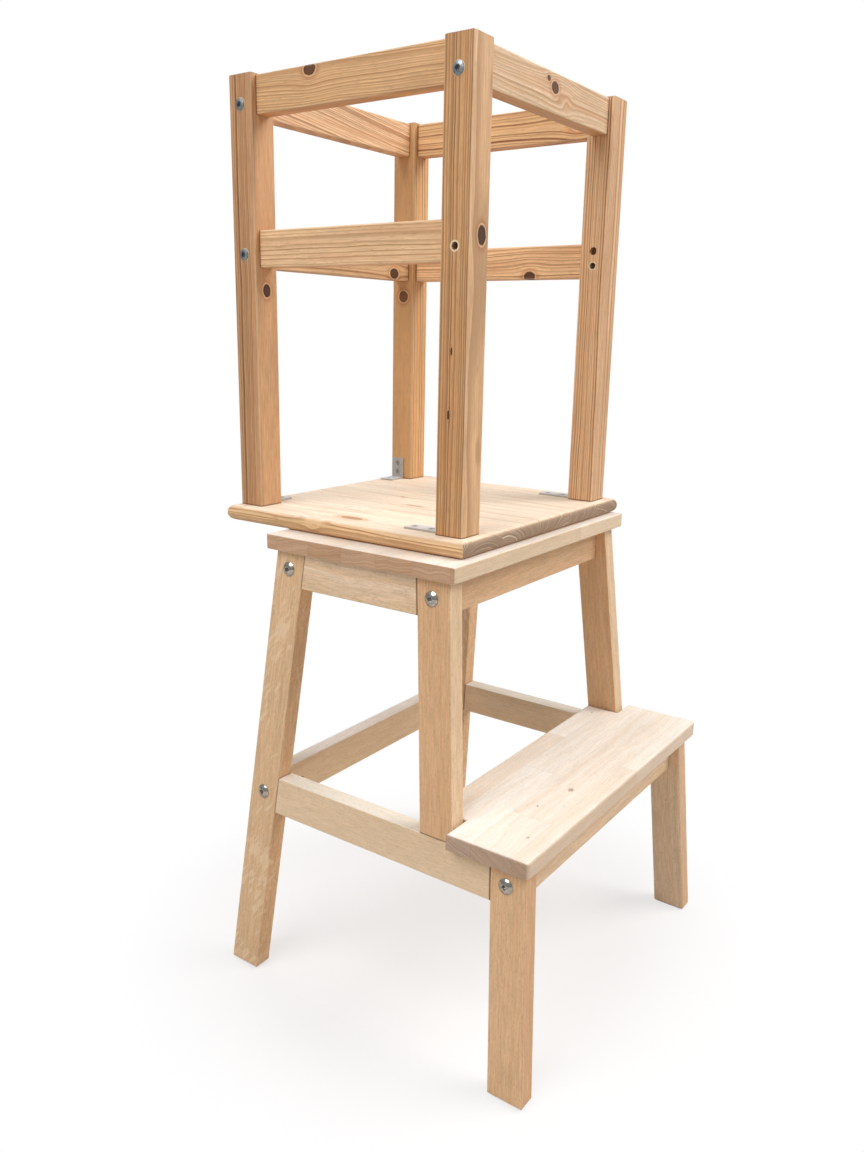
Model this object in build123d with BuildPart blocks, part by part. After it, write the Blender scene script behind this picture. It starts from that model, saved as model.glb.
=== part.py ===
from build123d import *
import os
from math import atan, cos, sin

# Toddler kitchen helper stool: a beech step stool with splayed legs, and a pine guard frame with its own
# standing platform, screwed down on the stool's top board.
# X runs across the stool, Y from the step at the front (-Y) to the back, Z up from the floor.
# The origin is on the floor under the middle of the whole object. All sizes are in millimetres.

os.makedirs("parts", exist_ok=True)

# Step stool, top board
stool_height = 500.0  # floor to the upper face of the top board
top_depth = 236.0
top_thickness = 16.0
top_middle_y = 13.0  # the board's middle, behind the middle of the whole object
top_easing = 1.5

# Step stool, leaning side frames
head_spread = 342.0  # across the outer faces, under the top board
foot_spread = 424.0  # across the outer faces, at the floor
leg_thickness = 20.0  # square to the frame's face
leg_width = 38.0  # level, along Y
rear_leg_inset = 9.0  # from the top board's back edge to the rear leg's head
rear_foot_run = 46.5  # how far the rear foot stands behind its head
front_post_inset = 9.5  # from the top board's front edge to the front post's head
front_post_run = 23.2  # how far the front post's lower end stands ahead of its head
step_foot_y = -217.2  # front edge of the short step leg, at the floor
step_leg_run = 17.5  # how far the step leg's foot stands ahead of its head
side_rail_top = 235.0
side_rail_height = 40.0
apron_height = 37.5
leg_easing = 1.2  # rounding along the arrises of legs, rails and aprons
foot_easing = 3.0  # chamfer round the foot
top_overhang = 7.0  # top board, past the outer faces of the side frames

# Step stool, rails across
cross_rail_thickness = 18.0
apron_recess = 12.0  # front and step aprons, behind the front edges of their legs

# Step stool, tread
tread_overhang = 11.4  # past the outer faces of the side frames, at each end
tread_thickness = 17.0
tread_nosing = 8.0  # how far the tread stands ahead of the step legs' heads
tread_corner = 6.0
tread_easing = 3.0
notch_gap = 0.6  # between the tread's notches and the posts

# Guard, standing platform
platform_middle_x = 14.5
platform_middle_y = 60.5
platform_width = 332.0
platform_depth = 313.0
platform_thickness = 17.0
platform_round = 8.0  # bullnose round the platform's edge

# Guard, frame
guard_middle_x = 13.5
guard_middle_y = 62.0
guard_width = 302.0  # across the outer faces of the posts
guard_depth = 293.5
post_size = 31.0
post_height = 433.0
post_easing = 1.5
guard_rail_height = 36.5
guard_rail_thickness = 18.0
top_rail_drop = 1.5  # from the posts' tops to the top rails
mid_rail_drop = 147.0  # from the posts' tops to the middle rails
top_bolt_drop = 8.5  # bolts, below the middle of the top rails
mid_bolt_drop = 5.5  # bolts, below the middle of the middle rails
guard_dowel_rise = 10.0  # dowels of the rails across, above the middle of their rail

# Bolts, barrel nuts and dowels
bolt_diameter = 6.0
bolt_hole_diameter = 7.0
nut_diameter = 10.0
nut_length = 13.0
nut_setback = 30.0  # from the end of a rail to the middle of its nut
bolt_reach = 9.0  # how far a bolt goes on past the middle of its nut
socket_flats = 5.0  # hexagon socket, across the flats
socket_depth = 3.0
stool_head_diameter = 15.0
stool_head_height = 3.2
guard_head_diameter = 11.5
guard_head_height = 1.8
dowel_diameter = 8.0
cross_dowel_bite = 12.0  # in each of the two pieces
cross_dowel_rise = 11.0  # above the middle of the rail
side_dowel_bite = 11.0
side_dowel_spread = 22.0  # between the two dowels of a joint
apron_dowel_spread = 19.0
guard_dowel_bite = 10.0  # in a guard post
guard_dowel_tail = 20.0  # in the rail
slim_dowel_diameter = 6.0  # between the guard's side rails and its posts
slim_dowel_bite = 10.0
slim_dowel_tail = 15.0
slim_dowel_web = 1.25  # wood between the lower slim dowel and the level of the middle bolts
fit_gap = 0.1  # radial and end clearance of dowels, nuts and screws in their holes

# Wood screws
long_screw_diameter = 4.0
long_screw_length = 35.0
long_screw_head = 8.0
long_screw_bite = 10.0  # in the board that is held down
access_hole_diameter = 9.0  # bored up to the head of a long screw
top_screw_spacing = 180.0
tread_screw_spacing = 220.0
joining_screw_length = 28.0  # stool top board to platform
joining_screw_spacing_x = 200.0
joining_screw_spacing_y = 100.0

# Angle brackets
bracket_width = 18.0
bracket_thickness = 2.0
bracket_bend = 2.5  # outer radius of the bend
front_bracket_leg = 42.0
front_bracket_near_hole = 15.0  # from the bend's corner
front_bracket_far_hole = 35.0
rear_bracket_leg = 27.0
rear_bracket_near_hole = 9.0
rear_bracket_far_hole = 20.0
rear_bracket_shift = 4.0  # back from the middle of the rear posts
small_screw_diameter = 3.5
small_screw_length = 15.0
small_screw_head = 7.0

# Places worked out from the sizes above
underside = stool_height - top_thickness
side_rail_bottom = side_rail_top - side_rail_height
side_rail_middle = side_rail_top - side_rail_height / 2
apron_bottom = underside - apron_height
apron_middle = underside - apron_height / 2
tread_top = side_rail_top + tread_thickness
lean = (foot_spread - head_spread) / 2 / underside
lean_angle = atan(lean)
top_width = head_spread + 2 * top_overhang
frame_slab = leg_thickness / cos(lean_angle)  # the side frame's thickness, measured level
platform_top = stool_height + platform_thickness
guard_top = platform_top + post_height
top_rail_middle = guard_top - top_rail_drop - guard_rail_height / 2
mid_rail_middle = guard_top - mid_rail_drop - guard_rail_height / 2

outer_face = Plane(
    origin=(-head_spread / 2, 0, underside),
    x_dir=(0, 1, 0),
    z_dir=(-cos(lean_angle), 0, sin(lean_angle)),
)
inner_face = outer_face.offset(-leg_thickness)


def outer_x(z):
    """Distance from the middle to a side frame's outer face at height z."""
    return head_spread / 2 + (underside - z) * lean


def inner_x(z):
    """Distance from the middle to a side frame's inner face at height z."""
    return outer_x(z) - frame_slab


def rear_leg_back(z):
    head = top_middle_y + top_depth / 2 - rear_leg_inset
    return head + rear_foot_run * (underside - z) / underside


def rear_leg_front(z):
    return rear_leg_back(z) - leg_width


def front_post_front(z):
    head = top_middle_y - top_depth / 2 + front_post_inset
    return head - front_post_run * (underside - z) / (underside - side_rail_top)


def front_post_back(z):
    return front_post_front(z) + leg_width


def step_leg_front(z):
    return step_foot_y + step_leg_run * z / side_rail_top


def step_leg_back(z):
    return step_leg_front(z) + leg_width


front_apron_y = front_post_front(apron_middle) + apron_recess + cross_rail_thickness / 2
back_apron_y = rear_leg_front(apron_middle) + leg_width / 2
step_apron_y = step_leg_front(side_rail_middle) + apron_recess + cross_rail_thickness / 2
stretcher_y = rear_leg_front(side_rail_middle) + leg_width / 2
cross_rail_joints = (
    (front_apron_y, apron_middle),
    (back_apron_y, apron_middle),
    (step_apron_y, side_rail_middle),
    (stretcher_y, side_rail_middle),
)


def on_outer_face(side, y, z):
    """Plane on the outer face of the left (-1) or right (1) side frame, looking outwards."""
    return Plane(
        origin=(side * outer_x(z), y, z),
        x_dir=(0, 1, 0),
        z_dir=(side * cos(lean_angle), 0, sin(lean_angle)),
    )


def in_side_frame(y, z):
    """Plane in the middle of the left side frame's thickness, looking along Y."""
    return Plane(origin=(-outer_x(z) + frame_slab / 2, y, z), x_dir=(1, 0, 0), z_dir=(0, 1, 0))


stool_bolt_places = [on_outer_face(side, y, z) for side in (-1, 1) for y, z in cross_rail_joints]
stool_nut_places = [
    Plane(origin=place.offset(-leg_thickness - nut_setback).origin, x_dir=(1, 0, 0), z_dir=(0, 1, 0))
    for place in stool_bolt_places
]
cross_dowel_places = [
    Plane(
        origin=(side * inner_x(z + cross_dowel_rise), y, z + cross_dowel_rise),
        z_dir=(1, 0, 0),
    )
    for side in (-1, 1)
    for y, z in cross_rail_joints
]
side_rail_dowel_heights = (
    side_rail_middle - side_dowel_spread / 2,
    side_rail_middle + side_dowel_spread / 2,
)
apron_dowel_heights = (
    apron_middle - apron_dowel_spread / 2,
    apron_middle + apron_dowel_spread / 2,
)
level_dowel_places = (
    [in_side_frame(step_leg_back(z), z) for z in side_rail_dowel_heights]
    + [in_side_frame(rear_leg_front(z), z) for z in side_rail_dowel_heights]
    + [in_side_frame(front_post_back(z), z) for z in apron_dowel_heights]
    + [in_side_frame(rear_leg_front(z), z) for z in apron_dowel_heights]
)
post_rise = underside - side_rail_top
post_direction = (lean * post_rise, front_post_run, post_rise)
post_foot_y = front_post_front(side_rail_top) + leg_width / 2
post_dowel_places = [
    Plane(
        origin=(-outer_x(side_rail_top) + frame_slab / 2, post_foot_y + offset, side_rail_top),
        z_dir=post_direction,
    )
    for offset in (-side_dowel_spread / 2, side_dowel_spread / 2)
]
side_frame_dowel_places = level_dowel_places + post_dowel_places


def drill_stool_frame():
    """Bolt and dowel holes of the step stool, cut from the piece being made."""
    with Locations(*stool_bolt_places):
        Hole(radius=bolt_hole_diameter / 2, depth=leg_thickness + nut_setback + bolt_reach + fit_gap)
    with Locations(*cross_dowel_places):
        Cylinder(dowel_diameter / 2 + fit_gap, 2 * (cross_dowel_bite + fit_gap), mode=Mode.SUBTRACT)
    with Locations(*side_frame_dowel_places):
        Cylinder(dowel_diameter / 2 + fit_gap, 2 * (side_dowel_bite + fit_gap), mode=Mode.SUBTRACT)


def side_board(outline):
    """A board of the left side frame: its outline seen from the side, run across and planed to the
    frame's leaning outer and inner faces."""
    with BuildSketch(Plane.YZ) as profile:
        with BuildLine():
            Polyline(*outline, close=True)
        make_face()
    extrude(profile.sketch, amount=-foot_spread)
    split(bisect_by=outer_face, keep=Keep.BOTTOM)
    split(bisect_by=inner_face, keep=Keep.TOP)


def ease_long_edges(builder, shortest, easing):
    """Rounds the arrises that run the length of a board."""
    fillet(builder.edges().filter_by(lambda edge: edge.length > shortest), radius=easing)


# Rear legs
with BuildPart() as rear_leg_left:
    side_board(
        [
            (rear_leg_front(0), 0),
            (rear_leg_back(0), 0),
            (rear_leg_back(underside), underside),
            (rear_leg_front(underside), underside),
        ]
    )
    chamfer(rear_leg_left.faces().sort_by(Axis.Z)[0].edges(), length=foot_easing)
    ease_long_edges(rear_leg_left, 2 * leg_width, leg_easing)
    drill_stool_frame()

rear_leg_left.part.label = "rear_leg_left"
export_step(rear_leg_left.part, "parts/rear_leg_left.step")

with BuildPart() as rear_leg_right:
    mirror(rear_leg_left.part, about=Plane.YZ)

rear_leg_right.part.label = "rear_leg_right"
export_step(rear_leg_right.part, "parts/rear_leg_right.step")

# Front posts, standing on the side rails
with BuildPart() as front_post_left:
    side_board(
        [
            (front_post_front(side_rail_top), side_rail_top),
            (front_post_back(side_rail_top), side_rail_top),
            (front_post_back(underside), underside),
            (front_post_front(underside), underside),
        ]
    )
    ease_long_edges(front_post_left, 2 * leg_width, leg_easing)
    drill_stool_frame()

front_post_left.part.label = "front_post_left"
export_step(front_post_left.part, "parts/front_post_left.step")

with BuildPart() as front_post_right:
    mirror(front_post_left.part, about=Plane.YZ)

front_post_right.part.label = "front_post_right"
export_step(front_post_right.part, "parts/front_post_right.step")

# Short legs under the step
with BuildPart() as step_leg_left:
    side_board(
        [
            (step_leg_front(0), 0),
            (step_leg_back(0), 0),
            (step_leg_back(side_rail_top), side_rail_top),
            (step_leg_front(side_rail_top), side_rail_top),
        ]
    )
    chamfer(step_leg_left.faces().sort_by(Axis.Z)[0].edges(), length=foot_easing)
    ease_long_edges(step_leg_left, 2 * leg_width, leg_easing)
    drill_stool_frame()

step_leg_left.part.label = "step_leg_left"
export_step(step_leg_left.part, "parts/step_leg_left.step")

with BuildPart() as step_leg_right:
    mirror(step_leg_left.part, about=Plane.YZ)

step_leg_right.part.label = "step_leg_right"
export_step(step_leg_right.part, "parts/step_leg_right.step")


# Long screws: up through a rail or apron, with the head at the end of an access hole
def long_screw_place(x, y, board_top):
    """Plane at the seat of a long screw's head, looking down."""
    seat = board_top + long_screw_bite - long_screw_length
    return Plane(origin=(x, y, seat), x_dir=(1, 0, 0), z_dir=(0, 0, -1))


tread_screw_y = (step_leg_back(side_rail_top) + front_post_front(side_rail_top)) / 2
side_rail_screw_x = outer_x(side_rail_middle) - frame_slab / 2
top_screw_places = [
    long_screw_place(x, y, underside)
    for x in (-top_screw_spacing / 2, top_screw_spacing / 2)
    for y in (front_apron_y, back_apron_y)
]
tread_screw_places = [
    long_screw_place(x, step_apron_y, side_rail_top)
    for x in (-tread_screw_spacing / 2, tread_screw_spacing / 2)
] + [long_screw_place(x, tread_screw_y, side_rail_top) for x in (-side_rail_screw_x, side_rail_screw_x)]


def drill_long_screws(places, board_height):
    """Clearance holes and access holes for long screws, cut from the piece being made."""
    with Locations(*places):
        CounterSinkHole(
            radius=long_screw_diameter / 2 + fit_gap,
            counter_sink_radius=long_screw_head / 2 + fit_gap,
            depth=long_screw_length,
        )
        Cylinder(
            access_hole_diameter / 2,
            board_height,
            align=(Align.CENTER, Align.CENTER, Align.MIN),
            mode=Mode.SUBTRACT,
        )


# Side rails
with BuildPart() as side_rail_left:
    side_board(
        [
            (step_leg_back(side_rail_bottom), side_rail_bottom),
            (rear_leg_front(side_rail_bottom), side_rail_bottom),
            (rear_leg_front(side_rail_top), side_rail_top),
            (step_leg_back(side_rail_top), side_rail_top),
        ]
    )
    ease_long_edges(side_rail_left, 2 * side_rail_height, leg_easing)
    drill_stool_frame()
    drill_long_screws(tread_screw_places, side_rail_height)

side_rail_left.part.label = "side_rail_left"
export_step(side_rail_left.part, "parts/side_rail_left.step")

with BuildPart() as side_rail_right:
    mirror(side_rail_left.part, about=Plane.YZ)

side_rail_right.part.label = "side_rail_right"
export_step(side_rail_right.part, "parts/side_rail_right.step")

# Aprons between the rear legs and the front posts
with BuildPart() as top_side_apron_left:
    side_board(
        [
            (front_post_back(apron_bottom), apron_bottom),
            (rear_leg_front(apron_bottom), apron_bottom),
            (rear_leg_front(underside), underside),
            (front_post_back(underside), underside),
        ]
    )
    ease_long_edges(top_side_apron_left, 2 * apron_height, leg_easing)
    drill_stool_frame()

top_side_apron_left.part.label = "top_side_apron_left"
export_step(top_side_apron_left.part, "parts/top_side_apron_left.step")

with BuildPart() as top_side_apron_right:
    mirror(top_side_apron_left.part, about=Plane.YZ)

top_side_apron_right.part.label = "top_side_apron_right"
export_step(top_side_apron_right.part, "parts/top_side_apron_right.step")


def cross_rail(builder, middle_y, low, high, nut_face, screw_places):
    """A rail between the side frames, its ends cut to the frames' lean. The barrel nuts go in from the
    front (-1) or the back (1) face."""
    with BuildSketch(Plane.XZ.offset(-middle_y)) as profile:
        with BuildLine():
            Polyline(
                (-inner_x(low), low),
                (inner_x(low), low),
                (inner_x(high), high),
                (-inner_x(high), high),
                close=True,
            )
        make_face()
    extrude(profile.sketch, amount=cross_rail_thickness / 2, both=True)
    ease_long_edges(builder, 2 * (high - low), leg_easing)
    drill_stool_frame()
    with Locations(*stool_nut_places):
        Cylinder(nut_diameter / 2 + fit_gap, nut_length + 2 * fit_gap, mode=Mode.SUBTRACT)
        with Locations((0, 0, nut_face * nut_length / 2)):
            Cylinder(nut_diameter / 2 + fit_gap, cross_rail_thickness, mode=Mode.SUBTRACT)
    drill_long_screws(screw_places, high - low)


# Rails across the step stool
with BuildPart() as front_apron:
    cross_rail(front_apron, front_apron_y, apron_bottom, underside, 1, top_screw_places)

front_apron.part.label = "front_apron"
export_step(front_apron.part, "parts/front_apron.step")

with BuildPart() as back_apron:
    cross_rail(back_apron, back_apron_y, apron_bottom, underside, -1, top_screw_places)

back_apron.part.label = "back_apron"
export_step(back_apron.part, "parts/back_apron.step")

with BuildPart() as step_apron:
    cross_rail(step_apron, step_apron_y, side_rail_bottom, side_rail_top, 1, tread_screw_places)

step_apron.part.label = "step_apron"
export_step(step_apron.part, "parts/step_apron.step")

with BuildPart() as rear_stretcher:
    cross_rail(rear_stretcher, stretcher_y, side_rail_bottom, side_rail_top, -1, tread_screw_places)

rear_stretcher.part.label = "rear_stretcher"
export_step(rear_stretcher.part, "parts/rear_stretcher.step")

# Top board of the step stool, countersunk from below for the screws that hold the platform
joining_screw_places = [
    Plane(origin=(x, y, underside), x_dir=(1, 0, 0), z_dir=(0, 0, -1))
    for x in (-joining_screw_spacing_x / 2, joining_screw_spacing_x / 2)
    for y in (top_middle_y - joining_screw_spacing_y / 2, top_middle_y + joining_screw_spacing_y / 2)
]

with BuildPart() as top_board:
    with BuildSketch(Plane.XY.offset(underside)):
        with Locations((0, top_middle_y)):
            Rectangle(top_width, top_depth)
    extrude(amount=top_thickness)
    fillet(top_board.edges(), radius=top_easing)
    with Locations(*top_screw_places):
        Cylinder(
            long_screw_diameter / 2 + fit_gap, 2 * (long_screw_length + fit_gap), mode=Mode.SUBTRACT
        )
    with Locations(*joining_screw_places):
        CounterSinkHole(
            radius=long_screw_diameter / 2 + fit_gap,
            counter_sink_radius=long_screw_head / 2 + fit_gap,
            depth=top_thickness,
        )

top_board.part.label = "top_board"
export_step(top_board.part, "parts/top_board.step")

# Tread of the step: a nosed front part, and a tongue that runs back between the front posts
tread_width = 2 * (outer_x(side_rail_top) + tread_overhang)
tread_front = step_leg_front(side_rail_top) - tread_nosing
tread_ear_back = front_post_front(side_rail_top) - notch_gap
tread_tongue_back = front_post_back(tread_top)
tread_tongue_half = inner_x(tread_top) - notch_gap

with BuildPart() as step_tread:
    with BuildSketch(Plane.XY.offset(side_rail_top)) as tread_outline:
        with BuildLine():
            Polyline(
                (-tread_width / 2, tread_front),
                (tread_width / 2, tread_front),
                (tread_width / 2, tread_ear_back),
                (tread_tongue_half, tread_ear_back),
                (tread_tongue_half, tread_tongue_back),
                (-tread_tongue_half, tread_tongue_back),
                (-tread_tongue_half, tread_ear_back),
                (-tread_width / 2, tread_ear_back),
                close=True,
            )
        make_face()
        fillet(tread_outline.vertices().group_by(Axis.Y)[0], radius=tread_corner)
    extrude(amount=tread_thickness)
    fillet(step_tread.faces().sort_by(Axis.Z)[-1].edges(), radius=tread_easing)
    fillet(step_tread.faces().sort_by(Axis.Z)[0].edges(), radius=leg_easing)
    with Locations(*tread_screw_places):
        Cylinder(
            long_screw_diameter / 2 + fit_gap, 2 * (long_screw_length + fit_gap), mode=Mode.SUBTRACT
        )

step_tread.part.label = "step_tread"
export_step(step_tread.part, "parts/step_tread.step")


def furniture_bolt(builder, head_diameter, head_height, crown, length):
    """A furniture bolt along Z with its head up, seated at Z = 0. The crown is the part of the head's
    height that is rounded over."""
    with BuildSketch(Plane.XZ) as profile:
        with BuildLine():
            Line((0, -length), (bolt_diameter / 2, -length))
            Line((bolt_diameter / 2, -length), (bolt_diameter / 2, 0))
            Line((bolt_diameter / 2, 0), (head_diameter / 2, 0))
            Line((head_diameter / 2, 0), (head_diameter / 2, head_height - crown))
            ThreePointArc(
                (head_diameter / 2, head_height - crown),
                (head_diameter / 2.9, head_height - crown / 3),
                (head_diameter / 5, head_height),
            )
            Line((head_diameter / 5, head_height), (0, head_height))
            Line((0, head_height), (0, -length))
        make_face()
    revolve(profile.sketch, axis=Axis.Z)
    with BuildSketch(Plane.XY.offset(head_height)) as socket:
        RegularPolygon(radius=socket_flats / 2, side_count=6, major_radius=False)
    extrude(socket.sketch, amount=-socket_depth, mode=Mode.SUBTRACT)
    chamfer(builder.edges().sort_by(Axis.Z)[0], length=bolt_diameter / 10)


# Bolts and barrel nuts of the step stool
with BuildPart() as stool_bolt:
    furniture_bolt(
        stool_bolt,
        stool_head_diameter,
        stool_head_height,
        stool_head_height * 0.75,
        leg_thickness + nut_setback + bolt_reach,
    )

with BuildPart() as stool_bolts:
    with Locations(*stool_bolt_places):
        add(stool_bolt.part)

stool_bolts.part.label = "stool_bolts"
export_step(stool_bolts.part, "parts/stool_bolts.step")

# A barrel nut lies along Z, with its tapped hole along X
with BuildPart() as barrel_nut:
    Cylinder(nut_diameter / 2, nut_length)
    chamfer(barrel_nut.edges().filter_by(GeomType.CIRCLE), length=nut_diameter / 20)
    with Locations(Plane.YZ):
        Cylinder(bolt_diameter / 2 + fit_gap, 2 * nut_diameter, mode=Mode.SUBTRACT)

with BuildPart() as stool_barrel_nuts:
    with Locations(
        *[
            Plane(origin=nut.origin, x_dir=bolt.z_dir, z_dir=(0, 1, 0))
            for nut, bolt in zip(stool_nut_places, stool_bolt_places)
        ]
    ):
        add(barrel_nut.part)

stool_barrel_nuts.part.label = "stool_barrel_nuts"
export_step(stool_barrel_nuts.part, "parts/stool_barrel_nuts.step")


def dowel_pin(builder, diameter, length):
    """A beech dowel along Z about its middle, with chamfered ends."""
    Cylinder(diameter / 2, length)
    chamfer(builder.edges().filter_by(GeomType.CIRCLE), length=diameter / 8)


# Dowels of the step stool
with BuildPart() as cross_dowel:
    dowel_pin(cross_dowel, dowel_diameter, 2 * cross_dowel_bite)

with BuildPart() as cross_rail_dowels:
    with Locations(*cross_dowel_places):
        add(cross_dowel.part)

cross_rail_dowels.part.label = "cross_rail_dowels"
export_step(cross_rail_dowels.part, "parts/cross_rail_dowels.step")

with BuildPart() as side_dowel:
    dowel_pin(side_dowel, dowel_diameter, 2 * side_dowel_bite)

with BuildPart() as left_side_dowels:
    with Locations(*side_frame_dowel_places):
        add(side_dowel.part)

with BuildPart() as side_frame_dowels:
    add(left_side_dowels.part)
    mirror(left_side_dowels.part, about=Plane.YZ)

side_frame_dowels.part.label = "side_frame_dowels"
export_step(side_frame_dowels.part, "parts/side_frame_dowels.step")


def wood_screw(diameter, head, length):
    """A countersunk wood screw pointing down from Z = 0, with a cross-shaped recess in its flat head."""
    cone = (head - diameter) / 2
    with BuildSketch(Plane.XZ) as profile:
        with BuildLine():
            Polyline(
                (0, 0),
                (head / 2, 0),
                (diameter / 2, -cone),
                (diameter / 2, diameter - length),
                (0, -length),
                close=True,
            )
        make_face()
    revolve(profile.sketch, axis=Axis.Z)
    with BuildSketch(Plane.XY) as recess:
        Rectangle(head / 2, head / 8)
        Rectangle(head / 8, head / 2)
    extrude(recess.sketch, amount=-cone / 2, mode=Mode.SUBTRACT)


# Long screws of the step stool, and the screws that join the guard to it
with BuildPart() as long_screw:
    wood_screw(long_screw_diameter, long_screw_head, long_screw_length)

with BuildPart() as top_board_screws:
    with Locations(*top_screw_places):
        add(long_screw.part)

top_board_screws.part.label = "top_board_screws"
export_step(top_board_screws.part, "parts/top_board_screws.step")

with BuildPart() as tread_screws:
    with Locations(*tread_screw_places):
        add(long_screw.part)

tread_screws.part.label = "tread_screws"
export_step(tread_screws.part, "parts/tread_screws.step")

with BuildPart() as joining_screw:
    wood_screw(long_screw_diameter, long_screw_head, joining_screw_length)

with BuildPart() as platform_screws:
    with Locations(*joining_screw_places):
        add(joining_screw.part)

platform_screws.part.label = "platform_screws"
export_step(platform_screws.part, "parts/platform_screws.step")


def post_x(side):
    """Middle of the left (-1) or right (1) guard posts."""
    return guard_middle_x + side * (guard_width - post_size) / 2


def post_y(row):
    """Middle of the front (-1) or back (1) guard posts."""
    return guard_middle_y + row * (guard_depth - post_size) / 2


# Angle brackets: on the back faces of the front posts, and on the inner faces of the rear posts.
# Each plane stands in the bracket's corner, Z up the post and X along the platform.
front_bracket_places = [
    Plane(origin=(post_x(side), post_y(-1) + post_size / 2, platform_top), x_dir=(0, 1, 0))
    for side in (-1, 1)
]
rear_bracket_places = [
    Plane(
        origin=(post_x(side) - side * post_size / 2, post_y(1) + rear_bracket_shift, platform_top),
        x_dir=(-side, 0, 0),
    )
    for side in (-1, 1)
]
front_bracket_holes = (front_bracket_near_hole, front_bracket_far_hole)
rear_bracket_holes = (rear_bracket_near_hole, rear_bracket_far_hole)
bracket_sets = (
    (front_bracket_places, front_bracket_holes),
    (rear_bracket_places, rear_bracket_holes),
)
plate_screw_places = [
    Plane(place.from_local_coords(Vector(hole, 0, bracket_thickness)), x_dir=place.x_dir, z_dir=(0, 0, 1))
    for places, holes in bracket_sets
    for place in places
    for hole in holes
] + [
    Plane(place.from_local_coords(Vector(bracket_thickness, 0, hole)), x_dir=(0, 0, 1), z_dir=place.x_dir)
    for places, holes in bracket_sets
    for place in places
    for hole in holes
]


def angle_bracket(leg, holes):
    """A pressed steel angle in the corner at the origin, with its legs along X and Z."""
    with BuildSketch(Plane.XZ) as profile:
        with BuildLine():
            Polyline(
                (0, 0),
                (leg, 0),
                (leg, bracket_thickness),
                (bracket_thickness, bracket_thickness),
                (bracket_thickness, leg),
                (0, leg),
                close=True,
            )
        make_face()
        fillet(profile.vertices().sort_by_distance((0, 0))[0], radius=bracket_bend)
    extrude(profile.sketch, amount=bracket_width / 2, both=True)
    countersink = small_screw_head / 2 + fit_gap
    with Locations(*[(hole, 0, bracket_thickness) for hole in holes]):
        CounterSinkHole(small_screw_diameter / 2 + fit_gap, countersink, depth=bracket_thickness)
    upright = Plane(origin=(bracket_thickness, 0, 0), x_dir=(0, 1, 0), z_dir=(1, 0, 0))
    with Locations(*[upright.shift_origin((bracket_thickness, 0, hole)) for hole in holes]):
        CounterSinkHole(small_screw_diameter / 2 + fit_gap, countersink, depth=bracket_thickness)


with BuildPart() as front_bracket:
    angle_bracket(front_bracket_leg, front_bracket_holes)

with BuildPart() as front_brackets:
    with Locations(*front_bracket_places):
        add(front_bracket.part)

front_brackets.part.label = "front_brackets"
export_step(front_brackets.part, "parts/front_brackets.step")

with BuildPart() as rear_bracket:
    angle_bracket(rear_bracket_leg, rear_bracket_holes)

with BuildPart() as rear_brackets:
    with Locations(*rear_bracket_places):
        add(rear_bracket.part)

rear_brackets.part.label = "rear_brackets"
export_step(rear_brackets.part, "parts/rear_brackets.step")

with BuildPart() as small_screw:
    wood_screw(small_screw_diameter, small_screw_head, small_screw_length)

with BuildPart() as bracket_screws:
    with Locations(*plate_screw_places):
        add(small_screw.part)

bracket_screws.part.label = "bracket_screws"
export_step(bracket_screws.part, "parts/bracket_screws.step")


def drill_small_screws():
    """Pilot holes of the bracket screws, cut from the piece being made."""
    with Locations(*plate_screw_places):
        Cylinder(
            small_screw_diameter / 2 + fit_gap,
            2 * (small_screw_length + fit_gap),
            mode=Mode.SUBTRACT,
        )


# Standing platform
with BuildPart() as platform:
    with BuildSketch(Plane.XY.offset(stool_height)):
        with Locations((platform_middle_x, platform_middle_y)):
            Rectangle(platform_width, platform_depth)
    extrude(amount=platform_thickness)
    fillet(platform.edges().filter_by(Axis.Z, reverse=True), radius=platform_round)
    with Locations(*joining_screw_places):
        Cylinder(
            long_screw_diameter / 2 + fit_gap, 2 * (joining_screw_length + fit_gap), mode=Mode.SUBTRACT
        )
    drill_small_screws()

platform.part.label = "platform"
export_step(platform.part, "parts/platform.step")

# Joints of the guard's rails. Rails across are bolted and dowelled, side rails are dowelled and glued.
rail_bolt_drop = {top_rail_middle: top_bolt_drop, mid_rail_middle: mid_bolt_drop}
rail_joints = [(row, height) for row in (-1, 1) for height in (top_rail_middle, mid_rail_middle)]
fitted_joints = [joint for joint in rail_joints if joint != (-1, mid_rail_middle)]


def guard_bolt_plane(side, row, height):
    """Plane at the seat of a bolt's head on a post's outer face, looking outwards."""
    return Plane(
        origin=(post_x(side) + side * post_size / 2, post_y(row), height - rail_bolt_drop[height]),
        x_dir=(0, 1, 0),
        z_dir=(side, 0, 0),
    )


def guard_nut_plane(side, row, height):
    """Plane at the middle of a barrel nut, which lies across the thickness of its rail."""
    setback = post_size / 2 + nut_setback
    return Plane(
        origin=(post_x(side) - side * setback, post_y(row), height - rail_bolt_drop[height]),
        x_dir=(1, 0, 0),
        z_dir=(0, -1, 0),
    )


def guard_dowel_plane(side, row, height):
    """Plane at the middle of a dowel between a post and a rail across."""
    shift = post_size / 2 + (guard_dowel_tail - guard_dowel_bite) / 2
    return Plane(
        origin=(post_x(side) - side * shift, post_y(row), height + guard_dowel_rise),
        z_dir=(1, 0, 0),
    )


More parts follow.
